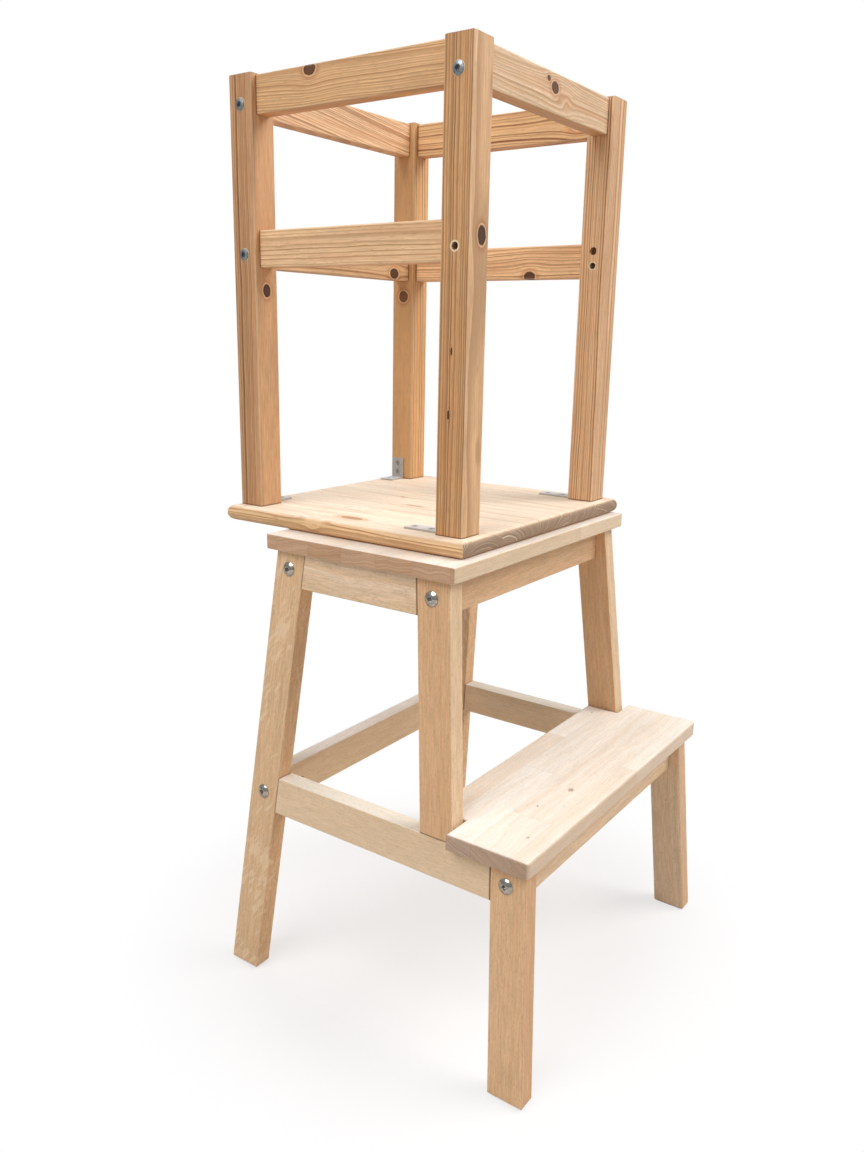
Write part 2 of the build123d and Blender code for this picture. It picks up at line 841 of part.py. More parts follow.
# The slim dowels end short of the bolts and of the dowels of the rails across
slim_dowel_shift = post_size / 2 + (slim_dowel_tail - slim_dowel_bite) / 2
slim_dowel_rise = (guard_dowel_rise - mid_bolt_drop) / 2
slim_dowel_drop = mid_bolt_drop + (bolt_hole_diameter + slim_dowel_diameter) / 2 + slim_dowel_web
slim_dowel_places = [
    Plane(origin=(post_x(side), post_y(row) - row * slim_dowel_shift, height + offset), z_dir=(0, 1, 0))
    for side in (-1, 1)
    for row, height in rail_joints
    for offset in (slim_dowel_rise, -slim_dowel_drop)
]
guard_bolt_places = [guard_bolt_plane(side, *joint) for side in (-1, 1) for joint in fitted_joints]
guard_nut_places = [guard_nut_plane(side, *joint) for side in (-1, 1) for joint in fitted_joints]
guard_dowel_places = [guard_dowel_plane(side, *joint) for side in (-1, 1) for joint in fitted_joints]
empty_joint = (-1, mid_rail_middle)
empty_bolt_places = [guard_bolt_plane(side, *empty_joint) for side in (-1, 1)]
empty_dowel_places = [guard_dowel_plane(side, *empty_joint) for side in (-1, 1)]


def drill_guard():
    """Bolt and dowel holes of the guard, cut from the piece being made. The front posts keep the holes
    of a middle rail that is left out, so that a child can climb in."""
    with Locations(*guard_bolt_places, *empty_bolt_places):
        Hole(radius=bolt_hole_diameter / 2, depth=post_size + nut_setback + bolt_reach + fit_gap)
    with Locations(*guard_dowel_places, *empty_dowel_places):
        Cylinder(
            dowel_diameter / 2 + fit_gap,
            guard_dowel_bite + guard_dowel_tail + 2 * fit_gap,
            mode=Mode.SUBTRACT,
        )
    with Locations(*slim_dowel_places):
        Cylinder(
            slim_dowel_diameter / 2 + fit_gap,
            slim_dowel_bite + slim_dowel_tail + 2 * fit_gap,
            mode=Mode.SUBTRACT,
        )


def guard_post(builder, side, row):
    """A square post at a corner of the guard, standing on the platform."""
    with BuildSketch(Plane.XY.offset(platform_top)) as section:
        with Locations((post_x(side), post_y(row))):
            Rectangle(post_size, post_size)
    extrude(section.sketch, amount=post_height)
    fillet(builder.edges().filter_by(Axis.Z), radius=post_easing)
    chamfer(builder.faces().sort_by(Axis.Z)[-1].edges(), length=post_easing / 2)
    drill_guard()
    drill_small_screws()


# Posts of the guard
with BuildPart() as guard_post_front_left:
    guard_post(guard_post_front_left, -1, -1)

guard_post_front_left.part.label = "guard_post_front_left"
export_step(guard_post_front_left.part, "parts/guard_post_front_left.step")

with BuildPart() as guard_post_front_right:
    guard_post(guard_post_front_right, 1, -1)

guard_post_front_right.part.label = "guard_post_front_right"
export_step(guard_post_front_right.part, "parts/guard_post_front_right.step")

with BuildPart() as guard_post_rear_left:
    guard_post(guard_post_rear_left, -1, 1)

guard_post_rear_left.part.label = "guard_post_rear_left"
export_step(guard_post_rear_left.part, "parts/guard_post_rear_left.step")

with BuildPart() as guard_post_rear_right:
    guard_post(guard_post_rear_right, 1, 1)

guard_post_rear_right.part.label = "guard_post_rear_right"
export_step(guard_post_rear_right.part, "parts/guard_post_rear_right.step")


def guard_cross_rail(builder, row, middle):
    """A rail across the guard, between two posts. Its barrel nuts go in from its rear face."""
    with BuildSketch(Plane.YZ.offset(guard_middle_x)) as section:
        with Locations((post_y(row), middle)):
            RectangleRounded(guard_rail_thickness, guard_rail_height, post_easing)
    extrude(section.sketch, amount=guard_width / 2 - post_size, both=True)
    drill_guard()
    with Locations(*guard_nut_places):
        Cylinder(nut_diameter / 2 + fit_gap, nut_length + 2 * fit_gap, mode=Mode.SUBTRACT)
        Cylinder(
            nut_diameter / 2 + fit_gap,
            guard_rail_thickness,
            align=(Align.CENTER, Align.CENTER, Align.MAX),
            mode=Mode.SUBTRACT,
        )


def guard_side_rail(side, middle):
    """A rail along the side of the guard, between a front and a rear post."""
    with BuildSketch(Plane.XZ.offset(-guard_middle_y)) as section:
        with Locations((post_x(side), middle)):
            RectangleRounded(guard_rail_thickness, guard_rail_height, post_easing)
    extrude(section.sketch, amount=guard_depth / 2 - post_size, both=True)
    drill_guard()


# Rails of the guard: four at the top, three in the middle
with BuildPart() as guard_top_rail_front:
    guard_cross_rail(guard_top_rail_front, -1, top_rail_middle)

guard_top_rail_front.part.label = "guard_top_rail_front"
export_step(guard_top_rail_front.part, "parts/guard_top_rail_front.step")

with BuildPart() as guard_top_rail_back:
    guard_cross_rail(guard_top_rail_back, 1, top_rail_middle)

guard_top_rail_back.part.label = "guard_top_rail_back"
export_step(guard_top_rail_back.part, "parts/guard_top_rail_back.step")

with BuildPart() as guard_top_rail_left:
    guard_side_rail(-1, top_rail_middle)

guard_top_rail_left.part.label = "guard_top_rail_left"
export_step(guard_top_rail_left.part, "parts/guard_top_rail_left.step")

with BuildPart() as guard_top_rail_right:
    guard_side_rail(1, top_rail_middle)

guard_top_rail_right.part.label = "guard_top_rail_right"
export_step(guard_top_rail_right.part, "parts/guard_top_rail_right.step")

with BuildPart() as guard_mid_rail_back:
    guard_cross_rail(guard_mid_rail_back, 1, mid_rail_middle)

guard_mid_rail_back.part.label = "guard_mid_rail_back"
export_step(guard_mid_rail_back.part, "parts/guard_mid_rail_back.step")

with BuildPart() as guard_mid_rail_left:
    guard_side_rail(-1, mid_rail_middle)

guard_mid_rail_left.part.label = "guard_mid_rail_left"
export_step(guard_mid_rail_left.part, "parts/guard_mid_rail_left.step")

with BuildPart() as guard_mid_rail_right:
    guard_side_rail(1, mid_rail_middle)

guard_mid_rail_right.part.label = "guard_mid_rail_right"
export_step(guard_mid_rail_right.part, "parts/guard_mid_rail_right.step")

# Bolts, barrel nuts and dowels of the guard
with BuildPart() as guard_bolt:
    furniture_bolt(
        guard_bolt,
        guard_head_diameter,
        guard_head_height,
        guard_head_height / 2,
        post_size + nut_setback + bolt_reach,
    )

with BuildPart() as guard_bolts:
    with Locations(*guard_bolt_places):
        add(guard_bolt.part)

guard_bolts.part.label = "guard_bolts"
export_step(guard_bolts.part, "parts/guard_bolts.step")

with BuildPart() as guard_barrel_nuts:
    with Locations(*guard_nut_places):
        add(barrel_nut.part)

guard_barrel_nuts.part.label = "guard_barrel_nuts"
export_step(guard_barrel_nuts.part, "parts/guard_barrel_nuts.step")

with BuildPart() as guard_dowel:
    dowel_pin(guard_dowel, dowel_diameter, guard_dowel_bite + guard_dowel_tail)

with BuildPart() as guard_cross_dowels:
    with Locations(*guard_dowel_places):
        add(guard_dowel.part)

guard_cross_dowels.part.label = "guard_cross_dowels"
export_step(guard_cross_dowels.part, "parts/guard_cross_dowels.step")

with BuildPart() as slim_dowel:
    dowel_pin(slim_dowel, slim_dowel_diameter, slim_dowel_bite + slim_dowel_tail)

with BuildPart() as guard_side_dowels:
    with Locations(*slim_dowel_places):
        add(slim_dowel.part)

guard_side_dowels.part.label = "guard_side_dowels"
export_step(guard_side_dowels.part, "parts/guard_side_dowels.step")
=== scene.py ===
import math

import bmesh
import bpy
from mathutils import Matrix, Vector

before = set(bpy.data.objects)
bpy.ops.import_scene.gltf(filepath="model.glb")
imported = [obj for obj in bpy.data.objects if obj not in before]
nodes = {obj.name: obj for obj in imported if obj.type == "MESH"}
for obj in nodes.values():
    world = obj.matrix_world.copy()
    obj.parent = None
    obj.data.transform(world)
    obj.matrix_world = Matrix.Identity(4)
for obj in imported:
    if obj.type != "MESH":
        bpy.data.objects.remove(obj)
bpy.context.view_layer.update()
scene = bpy.context.scene
scene.view_settings.view_transform = "Standard"

# -------------------------------------------------------------------------------------------------
# Camera
# Stands to the left of the step, a little above the standing platform, and looks slightly down.
# -------------------------------------------------------------------------------------------------
camera_data = bpy.data.cameras.new("camera")
camera_data.lens = 29.889
camera_data.sensor_width = 36.0
camera_data.clip_start = 0.05
camera = bpy.data.objects.new("camera", camera_data)
camera.location = (-0.87122, -0.56945, 0.7052)
camera.rotation_euler = [math.radians(angle) for angle in (75.6942, -1.0299, -54.5165)]
scene.collection.objects.link(camera)
scene.camera = camera


# -------------------------------------------------------------------------------------------------
# Studio floor and surround
# A seamless sheet of white paper under a plain white surround. The paper fades out to pure white
# away from the stool, and keeps only the soft shadows round its feet.
# -------------------------------------------------------------------------------------------------
def linear(code):
    """Linear colour of an sRGB hex code."""
    channels = [int(code[i : i + 2], 16) / 255 for i in (1, 3, 5)]
    return (*[c / 12.92 if c <= 0.04045 else ((c + 0.055) / 1.055) ** 2.4 for c in channels], 1.0)


def put(tree, kind, inputs=None, stops=None, stepped=False, **options):
    """Adds a node to a tree, with its options, its ramp's stops, and its inputs. An input takes a
    value, an output, or a node, which gives its first output."""
    node = tree.nodes.new("ShaderNode" + kind)
    for option, value in options.items():
        setattr(node, option, value)
    if stops:
        marks = node.color_ramp.elements
        node.color_ramp.interpolation = "CONSTANT" if stepped else "LINEAR"
        while len(marks) < len(stops):
            marks.new(1.0)
        for mark, (position, colour) in zip(marks, stops):
            mark.position = position
            mark.color = colour
    for key, value in (inputs or {}).items():
        if isinstance(value, bpy.types.Node):
            value = next(output for output in value.outputs if output.enabled)
        if isinstance(value, bpy.types.NodeSocket):
            tree.links.new(value, node.inputs[key])
        else:
            node.inputs[key].default_value = value
    return node


# options of nodes that blend two colours, that stain one with the other, and that ease in and out
blend = {"data_type": "RGBA"}
stain = {"data_type": "RGBA", "blend_type": "MULTIPLY"}
eased = {"interpolation_type": "SMOOTHSTEP"}


def bare_material(name):
    """A new material whose node tree is still empty, and that tree."""
    material = bpy.data.materials.new(name)
    material.use_nodes = True
    material.node_tree.nodes.clear()
    return material, material.node_tree


paper_radius = 6.0
paper_drop = 0.0003  # below the soles of the feet
floor_mesh = bpy.data.meshes.new("floor")
shape = bmesh.new()
bmesh.ops.create_circle(shape, cap_ends=True, segments=128, radius=paper_radius)
bmesh.ops.translate(shape, verts=shape.verts, vec=(0, 0, -paper_drop))
shape.to_mesh(floor_mesh)
shape.free()
floor = bpy.data.objects.new("floor", floor_mesh)
scene.collection.objects.link(floor)

paper, tree = bare_material("white_paper")
place = put(tree, "TexCoord")
reach = put(tree, "VectorMath", {0: place.outputs["Object"]}, operation="LENGTH")
# the paper's share of pure white, from 0.2 m to 0.42 m off the middle
fade = put(tree, "MapRange", {"Value": reach, 1: 0.2, 2: 0.42, 3: 0.57, 4: 1.0}, **eased)
seen = put(tree, "LightPath").outputs["Is Camera Ray"]
share = put(tree, "Math", {0: seen, 1: fade}, operation="MULTIPLY")
# the colour it throws back at the stool, and the one it shows
tints = {"A": linear("#C8C2BA"), "B": linear("#E6E3E1")}
matt = put(tree, "BsdfDiffuse", {"Color": put(tree, "Mix", {"Factor": seen, **tints}, **blend)})
bright = put(tree, "Emission", {"Color": linear("#FFFFFF"), "Strength": 1.0})
put(tree, "OutputMaterial", {"Surface": put(tree, "MixShader", {0: share, 1: matt, 2: bright})})
floor_mesh.materials.append(paper)

world = bpy.data.worlds.new("surround")
world.use_nodes = True
scene.world = world
tree = world.node_tree
tree.nodes.clear()
place = put(tree, "TexCoord")
height = put(tree, "SeparateXYZ", {0: place.outputs["Generated"]}).outputs["Z"]
# its light grows from the horizon to straight above
height = put(tree, "MapRange", {0: height, 1: 0.0, 2: 1.0, 3: 0.3, 4: 0.48})
glow = put(tree, "Background", {"Color": linear("#FFFFFF"), "Strength": height})
white = put(tree, "Background", {"Color": linear("#FFFFFF"), "Strength": 1.0})
seen = put(tree, "LightPath").outputs["Is Camera Ray"]
surround = put(tree, "MixShader", {0: seen, 1: glow, 2: white})
put(tree, "OutputWorld", {"Surface": surround})

# -------------------------------------------------------------------------------------------------
# Lamps
# Three large soft lamps that point at the middle of the stool: one high up ahead of the step, one
# high up on the left, and a weak one behind.
# -------------------------------------------------------------------------------------------------
aim = Vector((0, 0, 0.45))
for name, spot, size, watts in (
    ("front_lamp", (1.57, -2.49, 3.3), 2.9, 133.0),
    ("left_lamp", (-2.7, 0.33, 3.9), 3.3, 120.0),
    ("back_lamp", (0.9, 2.3, 2.0), 1.6, 10.0),
):
    lamp_data = bpy.data.lights.new(name, "AREA")
    lamp_data.shape = "DISK"
    lamp_data.size = size
    lamp_data.energy = watts
    lamp = bpy.data.objects.new(name, lamp_data)
    lamp.location = spot
    lamp.rotation_euler = (aim - Vector(spot)).to_track_quat("-Z", "Y").to_euler()
    scene.collection.objects.link(lamp)


# -------------------------------------------------------------------------------------------------
# Legs of the step stool
# Six straight-grained beech legs, planed, with eased arrises and clear matt lacquer. Rear legs and
# short step legs stand on the floor, the front posts on the side rails; all lean with their frame.
# -------------------------------------------------------------------------------------------------
def board_axes(along, face):
    """Turn of a board: X along its grain, Z out of its wide face."""
    x_axis = Vector(along).normalized()
    z_axis = (Vector(face) - Vector(face).project(x_axis)).normalized()
    return Matrix((x_axis, z_axis.cross(x_axis), z_axis)).transposed().to_euler()


def board_space(tree, middle, turn):
    """Place on a board in millimetres from its middle, and the same moved off to a part of the
    wood's pattern that depends on where the board stands."""
    place = put(tree, "TexCoord").outputs["Object"]
    origin = Vector(middle) / 1000
    unit = (0.001, 0.001, 0.001)
    inputs = {"Vector": place, "Location": origin, "Rotation": turn, "Scale": unit}
    board = put(tree, "Mapping", inputs, vector_type="TEXTURE")
    lot = (sum(middle) * 3.7, middle[1] * 2.3, middle[2] * 1.9)
    return board, put(tree, "VectorMath", {0: board, 1: lot})


def strip_rows(tree, across, width, edge, rows):
    """Counts the glued strips of a wide board from its first edge, with and without the fraction,
    and looks up the three values of each in a stepped ramp, which holds nought to one."""
    row = put(tree, "Math", {0: across, 1: -1 / width, 2: edge / width}, operation="MULTIPLY_ADD")
    rank = put(tree, "Math", {0: row}, operation="FLOOR")
    count = len(rows)
    pick = put(tree, "Math", {0: rank, 1: 1 / count, 2: 0.5 / count}, operation="MULTIPLY_ADD")
    table = [(i / count, (*values, 1)) for i, values in enumerate(rows)]
    strip = put(tree, "SeparateXYZ", {0: put(tree, "ValToRGB", {0: pick}, table, True)})
    return row, rank, strip


def unpacked(tree, value):
    """Millimetres from a ramp's nought to one, which stands for 250 mm either way."""
    return put(tree, "Math", {0: value, 1: 500, 2: -250}, operation="MULTIPLY_ADD")


def facing(tree, normal, way, start, full):
    """How far a face looks along an axis, either way: nought at start, one from full."""
    turned = put(tree, "VectorMath", {0: normal, 1: way}, operation="DOT_PRODUCT")
    turned = put(tree, "Math", {0: turned}, operation="ABSOLUTE")
    return put(tree, "MapRange", {0: turned, 1: start, 2: full}, **eased)


def shade_painted_joints(tree, board, colour, joints, shadow):
    """Paints a thin line of shade on the last millimetre or so of a board where it meets its
    neighbour, standing in for the shadow in the joint's gap. A joint is its place along the board,
    in millimetres, and its slant."""
    reach, core = 1.7, 0.6
    for place, slant in joints:
        past = put(tree, "VectorMath", {0: board, 1: (1, slant, 0)}, operation="DOT_PRODUCT")
        past = put(tree, "Math", {0: past, 1: place}, operation="SUBTRACT")
        past = put(tree, "Math", {0: past}, operation="ABSOLUTE")
        past = put(tree, "MapRange", {0: past, 1: reach, 2: core, 3: 0.0, 4: 0.85})
        colour = put(tree, "Mix", {"Factor": past, "A": colour, "B": linear(shadow)}, **blend)
    return colour


def lacquer(tree, colour, relief, depth, fibre, dullest):
    """The coat over a wood's colour: it follows the relief, and is duller along the fibres."""
    bump = put(tree, "Bump", {"Height": relief, "Strength": depth, "Distance": 0.0004})
    gloss = put(tree, "MapRange", {0: fibre, 3: 0.42, 4: dullest})
    inputs = {"Base Color": colour, "Roughness": gloss, "IOR": 1.5, "Normal": bump}
    put(tree, "OutputMaterial", {"Surface": put(tree, "BsdfPrincipled", inputs)})


def dress(pieces, material):
    """Gives pieces a material, in place of what they came with."""
    for piece in pieces:
        nodes[piece].data.materials.clear()
        nodes[piece].data.materials.append(material)


# beech in its darkest, middling and palest growth zones
plain_beech = ("#DBB992", "#DFBF9B", "#E3C5A3")
pale_beech = ("#DFC09D", "#E3C6A6", "#E7CCB0")
sanded_beech = ("#ECDFD0", "#EFE5D9", "#F2EAE1")


def lacquered_beech(
    piece,
    middle,
    along,
    face,
    stem=(60, -45),
    body=plain_beech,
    wide="#FFFFFF",
    narrow="#FFFFFF",
    flakes=0.0,
    staves=None,
    flaws=(),
    joints=(),
    fuzz=0.16,
    ends=("#C0A48E", "#D3BBA8"),
):
    """Steamed beech under clear matt lacquer: pale, pinkish and even, with faint growth zones,
    short brown flecks along the grain and, where the saw ran towards the pith, pale ray flakes.
    Lengths are in millimetres. stem is the tree's pith across the board, and body the colours of
    its growth zones. wide and narrow tint the faces with painted light and shade, darker on the
    faces meant to look less lit, and ends the end grain. fuzz is how strongly the fibres show,
    flakes the same for the rays. staves are the glued strips of a wide board: their width, the
    first one's edge, and for each its butt joint and the tone left and right of it. flaws are tiny
    dark blemishes: place along, place across and size. joints are the places along the board, in
    millimetres, and the slants where it meets a neighbour; a thin line of painted shade is laid on
    each."""
    material, tree = bare_material("lacquered_beech_" + piece)
    turn = board_axes(along, face)
    axis = turn.to_matrix().col
    board, spot = board_space(tree, middle, turn)
    tone = None
    if staves:
        width, edge, rows = staves
        axes = put(tree, "SeparateXYZ", {0: board})
        rows = [(butt / 500 + 0.5, left / 2, right / 2) for butt, left, right in rows]
        row, rank, strip = strip_rows(tree, axes.outputs["Y"], width, edge, rows)
        past = put(tree, "Math", {0: axes, 1: unpacked(tree, strip)}, operation="SUBTRACT")
        beyond = put(tree, "Math", {0: past, 1: 0.0}, operation="GREATER_THAN")
        tone = put(tree, "Mix", {0: beyond, "A": strip.outputs["Y"], "B": strip.outputs["Z"]})
        # every stave is cut from another part of the wood
        number = put(tree, "Math", {0: beyond, 1: 7.31, 2: rank}, operation="MULTIPLY_ADD")
        chance = put(tree, "TexWhiteNoise", {"W": number}, noise_dimensions="1D").outputs["Color"]
        moved = {0: chance, 1: (500, 70, 70), 2: spot}
        spot = put(tree, "VectorMath", moved, operation="MULTIPLY_ADD")
        # glue lines about a millimetre wide along the staves and at their butts
        gap = put(tree, "Math", {0: row}, operation="FRACT")
        gap = put(tree, "Math", {0: gap, 1: 0.5}, operation="SUBTRACT")
        gap = put(tree, "Math", {0: gap}, operation="ABSOLUTE")
        seam = put(tree, "MapRange", {0: gap, 1: 0.5 - 0.5 / width, 2: 0.5})
        past = put(tree, "Math", {0: past}, operation="ABSOLUTE")
        end = put(tree, "MapRange", {0: past, 1: 0.6, 2: 0.1})
        seam = put(tree, "Math", {0: seam, 1: end}, operation="MAXIMUM")
    # growth zones a few millimetres wide round the pith, wandering slowly along the board
    slow = put(tree, "VectorMath", {0: spot, 1: (1 / 170, 1 / 45, 1 / 45)}, operation="MULTIPLY")
    wander = put(tree, "TexNoise", {"Vector": slow, "Scale": 1.0, "Detail": 2.0}).outputs["Color"]
    bent = {0: wander, 1: (0, 18, 18), 2: spot if staves else board}
    bent = put(tree, "VectorMath", bent, operation="MULTIPLY_ADD")
    bent = put(tree, "VectorMath", {0: bent, 1: (0, *stem)}, operation="SUBTRACT")
    bent = put(tree, "VectorMath", {0: bent, 1: (0, 1, 1)}, operation="MULTIPLY")
    radius = put(tree, "VectorMath", {0: bent}, operation="LENGTH")
    zone = {"W": radius, "Scale": 0.26, "Detail": 3.0}
    zone = put(tree, "TexNoise", zone, noise_dimensions="1D")
    # fibres 1.4 mm apart and flecks 4 mm long, coarser than real ones so that they show
    thread = put(tree, "VectorMath", {0: spot, 1: (1 / 22, 1 / 1.4, 1 / 1.4)}, operation="MULTIPLY")
    fibre = put(tree, "TexNoise", {"Vector": thread, "Scale": 1.0, "Detail": 3.0, "Roughness": 0.6})
    dash = put(tree, "VectorMath", {0: spot, 1: (1 / 4.2, 1 / 1.0, 1 / 1.0)}, operation="MULTIPLY")
    dash = put(tree, "TexNoise", {"Vector": dash, "Scale": 1.0, "Detail": 1.0})
    fleck = put(tree, "MapRange", {0: dash, 1: 0.55, 2: 0.68, 4: 2.1 * fuzz})
    drift = put(tree, "VectorMath", {0: spot, 1: (1 / 95, 1 / 24, 1 / 24)}, operation="MULTIPLY")
    cloud = put(tree, "TexNoise", {"Vector": drift, "Scale": 1.0, "Detail": 3.0})
    zones = [(stop, linear(code)) for stop, code in zip((0.3, 0.5, 0.72), body)]
    colour = put(tree, "ValToRGB", {0: zone}, zones)
    even = put(tree, "MapRange", {0: cloud, 1: 0.28, 2: 0.72, 3: 0.95, 4: 1.04})
    grain = put(tree, "MapRange", {0: fibre, 1: 0.3, 2: 0.7, 3: 1 - fuzz, 4: 1 + 0.75 * fuzz})
    shade = put(tree, "Math", {0: even, 1: grain}, operation="MULTIPLY")
    if staves:
        tone = put(tree, "Math", {0: tone, 1: 2.0}, operation="MULTIPLY")
        shade = put(tree, "Math", {0: shade, 1: tone}, operation="MULTIPLY")
        dull = put(tree, "Math", {0: seam, 1: -0.14, 2: 1.0}, operation="MULTIPLY_ADD")
        shade = put(tree, "Math", {0: shade, 1: dull}, operation="MULTIPLY")
        # the darker a stave, the warmer it is
        warm = put(tree, "MapRange", {0: tone, 1: 1.0, 2: 0.86})
        colour = put(tree, "Mix", {"Factor": warm, "A": colour, "B": linear("#F6E0C2")}, **stain)
    colour = put(tree, "VectorMath", {0: colour, "Scale": shade}, operation="SCALE")
    colour = put(tree, "Mix", {"Factor": fleck, "A": colour, "B": linear("#B08760")}, **blend)
    if flakes:
        # ray flakes about 20 mm long lie slanting in loose swarms
        tilt = put(tree, "VectorRotate", {"Vector": spot, "Axis": (0, 0, 1), "Angle": 0.55})
        tilt = {0: tilt, 1: (1 / 22, 1 / 5.5, 1 / 5.5)}
        flake = {"Vector": put(tree, "VectorMath", tilt, operation="MULTIPLY")}
        flake = put(tree, "TexNoise", {**flake, "Scale": 1.0, "Detail": 3.0, "Roughness": 0.6})
        swarm = put(tree, "VectorMath", {0: spot, "Scale": 1 / 45}, operation="SCALE")
        swarm = put(tree, "TexNoise", {"Vector": swarm, "Scale": 1.0, "Detail": 1.0})
        flake = put(tree, "Math", {0: swarm, 1: 0.5, 2: flake}, operation="MULTIPLY_ADD")
        flake = put(tree, "MapRange", {0: flake, 1: 0.8, 2: 0.89, 3: 0.0, 4: flakes})
        colour = put(tree, "Mix", {"Factor": flake, "A": colour, "B": linear("#F2DFC4")}, **blend)
    for x, y, size in flaws:
        ray = put(tree, "VectorMath", {0: board, 1: (x, y, 0)}, operation="SUBTRACT")
        ray = put(tree, "VectorMath", {0: ray, 1: (0.7, 1, 0)}, operation="MULTIPLY")
        away = put(tree, "VectorMath", {0: ray}, operation="LENGTH")
        ragged = put(tree, "Math", {0: dash, 1: -2.6 * size, 2: away}, operation="MULTIPLY_ADD")
        mark = put(tree, "MapRange", {0: ragged, 1: 0.4 * size, 2: -0.9 * size, 3: 0.0, 4: 0.75})
        colour = put(tree, "Mix", {"Factor": mark, "A": colour, "B": linear("#8A6748")}, **blend)
    # the faces' tints, which are painted light and shade that darken the faces meant to look less
    # lit; end grain drinks the lacquer and turns darker and greyer
    normal = put(tree, "NewGeometry").outputs["Normal"]
    side = facing(tree, normal, axis[1], 0.4, 0.85)
    tint = put(tree, "Mix", {"Factor": side, "A": linear(wide), "B": linear(narrow)}, **blend)
    arcs = {"W": radius, "Scale": 0.55, "Detail": 3.0}
    arcs = put(tree, "TexNoise", arcs, noise_dimensions="1D")
    arcs = put(tree, "MapRange", {0: arcs, 1: 0.35, 2: 0.65})
    sawn = {"Factor": arcs, "A": linear(ends[0]), "B": linear(ends[1])}
    sawn = put(tree, "Mix", sawn, **blend)
    cut = facing(tree, normal, axis[0], 0.55, 0.9)
    tint = put(tree, "Mix", {"Factor": cut, "A": tint, "B": sawn}, **blend)
    colour = put(tree, "Mix", {"Factor": 1.0, "A": colour, "B": tint}, **stain)
    # a thin line of painted shade where the board meets its neighbours
    colour = shade_painted_joints(tree, board, colour, joints, "#7B5A3C")
    lacquer(tree, colour, fibre, 0.12, fibre, 0.58)
    dress((piece,), material)


# over the 484 mm up to the top board, both side frames lean in by 41 mm and the rear legs run
# forward by 46.5 mm; the front posts and the step legs run back, each over its own height
lean = 41 / 484
rear_run = -46.5 / 484
post_run = 23.2 / 249
step_run = 17.5 / 235
for side, hand in ((-1, "left"), (1, "right")):
    outward = (side, 0, lean)
    lacquered_beech(
        "rear_leg_" + hand,
        (side * 181.5, 126.3, 242),
        (-side * lean, rear_run, 1),
        outward,
        wide="#FDF6EE",
        narrow="#FDEDDD",
        flakes=0.45,
    )
    lacquered_beech(
        "front_post_" + hand,
        (side * 171.5, -88, 360),
        (-side * lean, post_run, 1),
        outward,
        wide="#FAEBDC",
        joints=((-126.8, side * 0.093), (124.1, side * 0.093)),
    )
    lacquered_beech(
        "step_leg_" + hand,
        (side * 192, -189, 118),
        (-side * lean, step_run, 1),
        outward,
        # the right step leg's inner face lies in shade under the tread, so it has the paler beech
        # and an untinted wide face: painted light
        body=pale_beech if side > 0 else plain_beech,
        wide="#FDF2E6" if side < 0 else "#FFFFFF",
        narrow="#F0DFD0",
    )

# -------------------------------------------------------------------------------------------------
# Side rails and aprons of the step stool
# Beech bars dowelled and glued between the legs of each side: the long rail from step leg to rear
# leg, which also carries the front post, and the short apron under the top board.
# -------------------------------------------------------------------------------------------------
apron_level, rail_level = 465, 215  # their middles above the floor
for side, hand in ((-1, "left"), (1, "right")):
    outward = (side, 0, lean)
    # the pale sanded beech with a darker tint on the side faces makes the rails' top faces look lit
    # from above: painted light and shade
    lacquered_beech(
        "side_rail_" + hand,
        (side * 183.8, -24, rail_level),
        (0, side, 0),
        outward,
        stem=(20, -60),
        body=sanded_beech,
        wide="#F0DCC1",
        narrow="#F3F2ED",
        fuzz=0.1,
        joints=((side * 133.9, side * 0.096), (-side * 139.2, -side * 0.0745)),
    )
    lacquered_beech(
        "top_side_apron_" + hand,
        (side * 162.6, 13, apron_level),
        (0, side, 0),
        outward,
        stem=(-8, -30),
        body=pale_beech,
        joints=((side * 72.8, side * 0.096), (-side * 72.3, -side * 0.0932)),
    )

# -------------------------------------------------------------------------------------------------
# Cross rails of the step stool
# Four beech rails that tie the two side frames together. A bolt and a dowel hold each of them at
# either end.
# -------------------------------------------------------------------------------------------------
# the rear stretcher's pale sanded beech with a darker front face makes its top look lit from above,
# and the front apron's front face is tinted darker: painted light and shade
for piece, depth, height, body, tint, fuzz in (
    ("front_apron", -76, apron_level, plain_beech, "#F6EADF", 0.16),
    ("back_apron", 105, apron_level, plain_beech, "#FFFFFF", 0.16),
    ("step_apron", -180, rail_level, plain_beech, "#FFFFFF", 0.16),
    ("rear_stretcher", 129, rail_level, sanded_beech, "#ECD4B4", 0.1),
):
    lacquered_beech(
        piece,
        (0, depth, height),
        (1, 0, 0),
        (0, -1, 0),
        stem=(35, -70),
        body=body,
        wide=tint,
        fuzz=fuzz,
    )

# -------------------------------------------------------------------------------------------------
# Top board and tread of the step stool
# Beech strips about 40 mm wide, butted end to end and glued up into boards, sanded and lacquered.
# The tread is notched round the front posts. Both are screwed on from below.
# -------------------------------------------------------------------------------------------------
# the top board's and the tread's narrow tints darken their front and back edges: painted shade
lacquered_beech(
    "top_board",
    (0, 13, 492),
    (1, 0, 0),
    (0, 0, 1),
    stem=(-20, -12),
    body=sanded_beech,
    fuzz=0.08,
    ends=("#C8A68A", "#DBBCA3"),
    narrow="#EDDDC8",
    staves=(
        43.5,
        147.5,
        (
            (60, 0.99, 1.0),
            (-90, 1.0, 0.98),
            (20, 0.96, 1.0),
            (-40, 1.0, 0.98),
            (110, 0.98, 1.0),
            (-20, 1.0, 0.99),
            (70, 0.98, 1.0),
        ),
    ),
)
lacquered_beech(
    "step_tread",
    (0, -143, 243),
    (1, 0, 0),
    (0, 0, 1),
    stem=(10, -50),
    body=sanded_beech,
    fuzz=0.08,
    ends=("#BBA495", "#CBB7AA"),
    narrow="#EADDD2",
    staves=(43, 82, ((62, 0.95, 1.0), (-30, 1.0, 0.985), (-128, 0.98, 0.97), (30, 0.96, 0.985))),
    flaws=((-52, -28, 2.2), (-104, -18, 1.1), (-163, -41, 1.1), (150, 48, 1.0)),
)

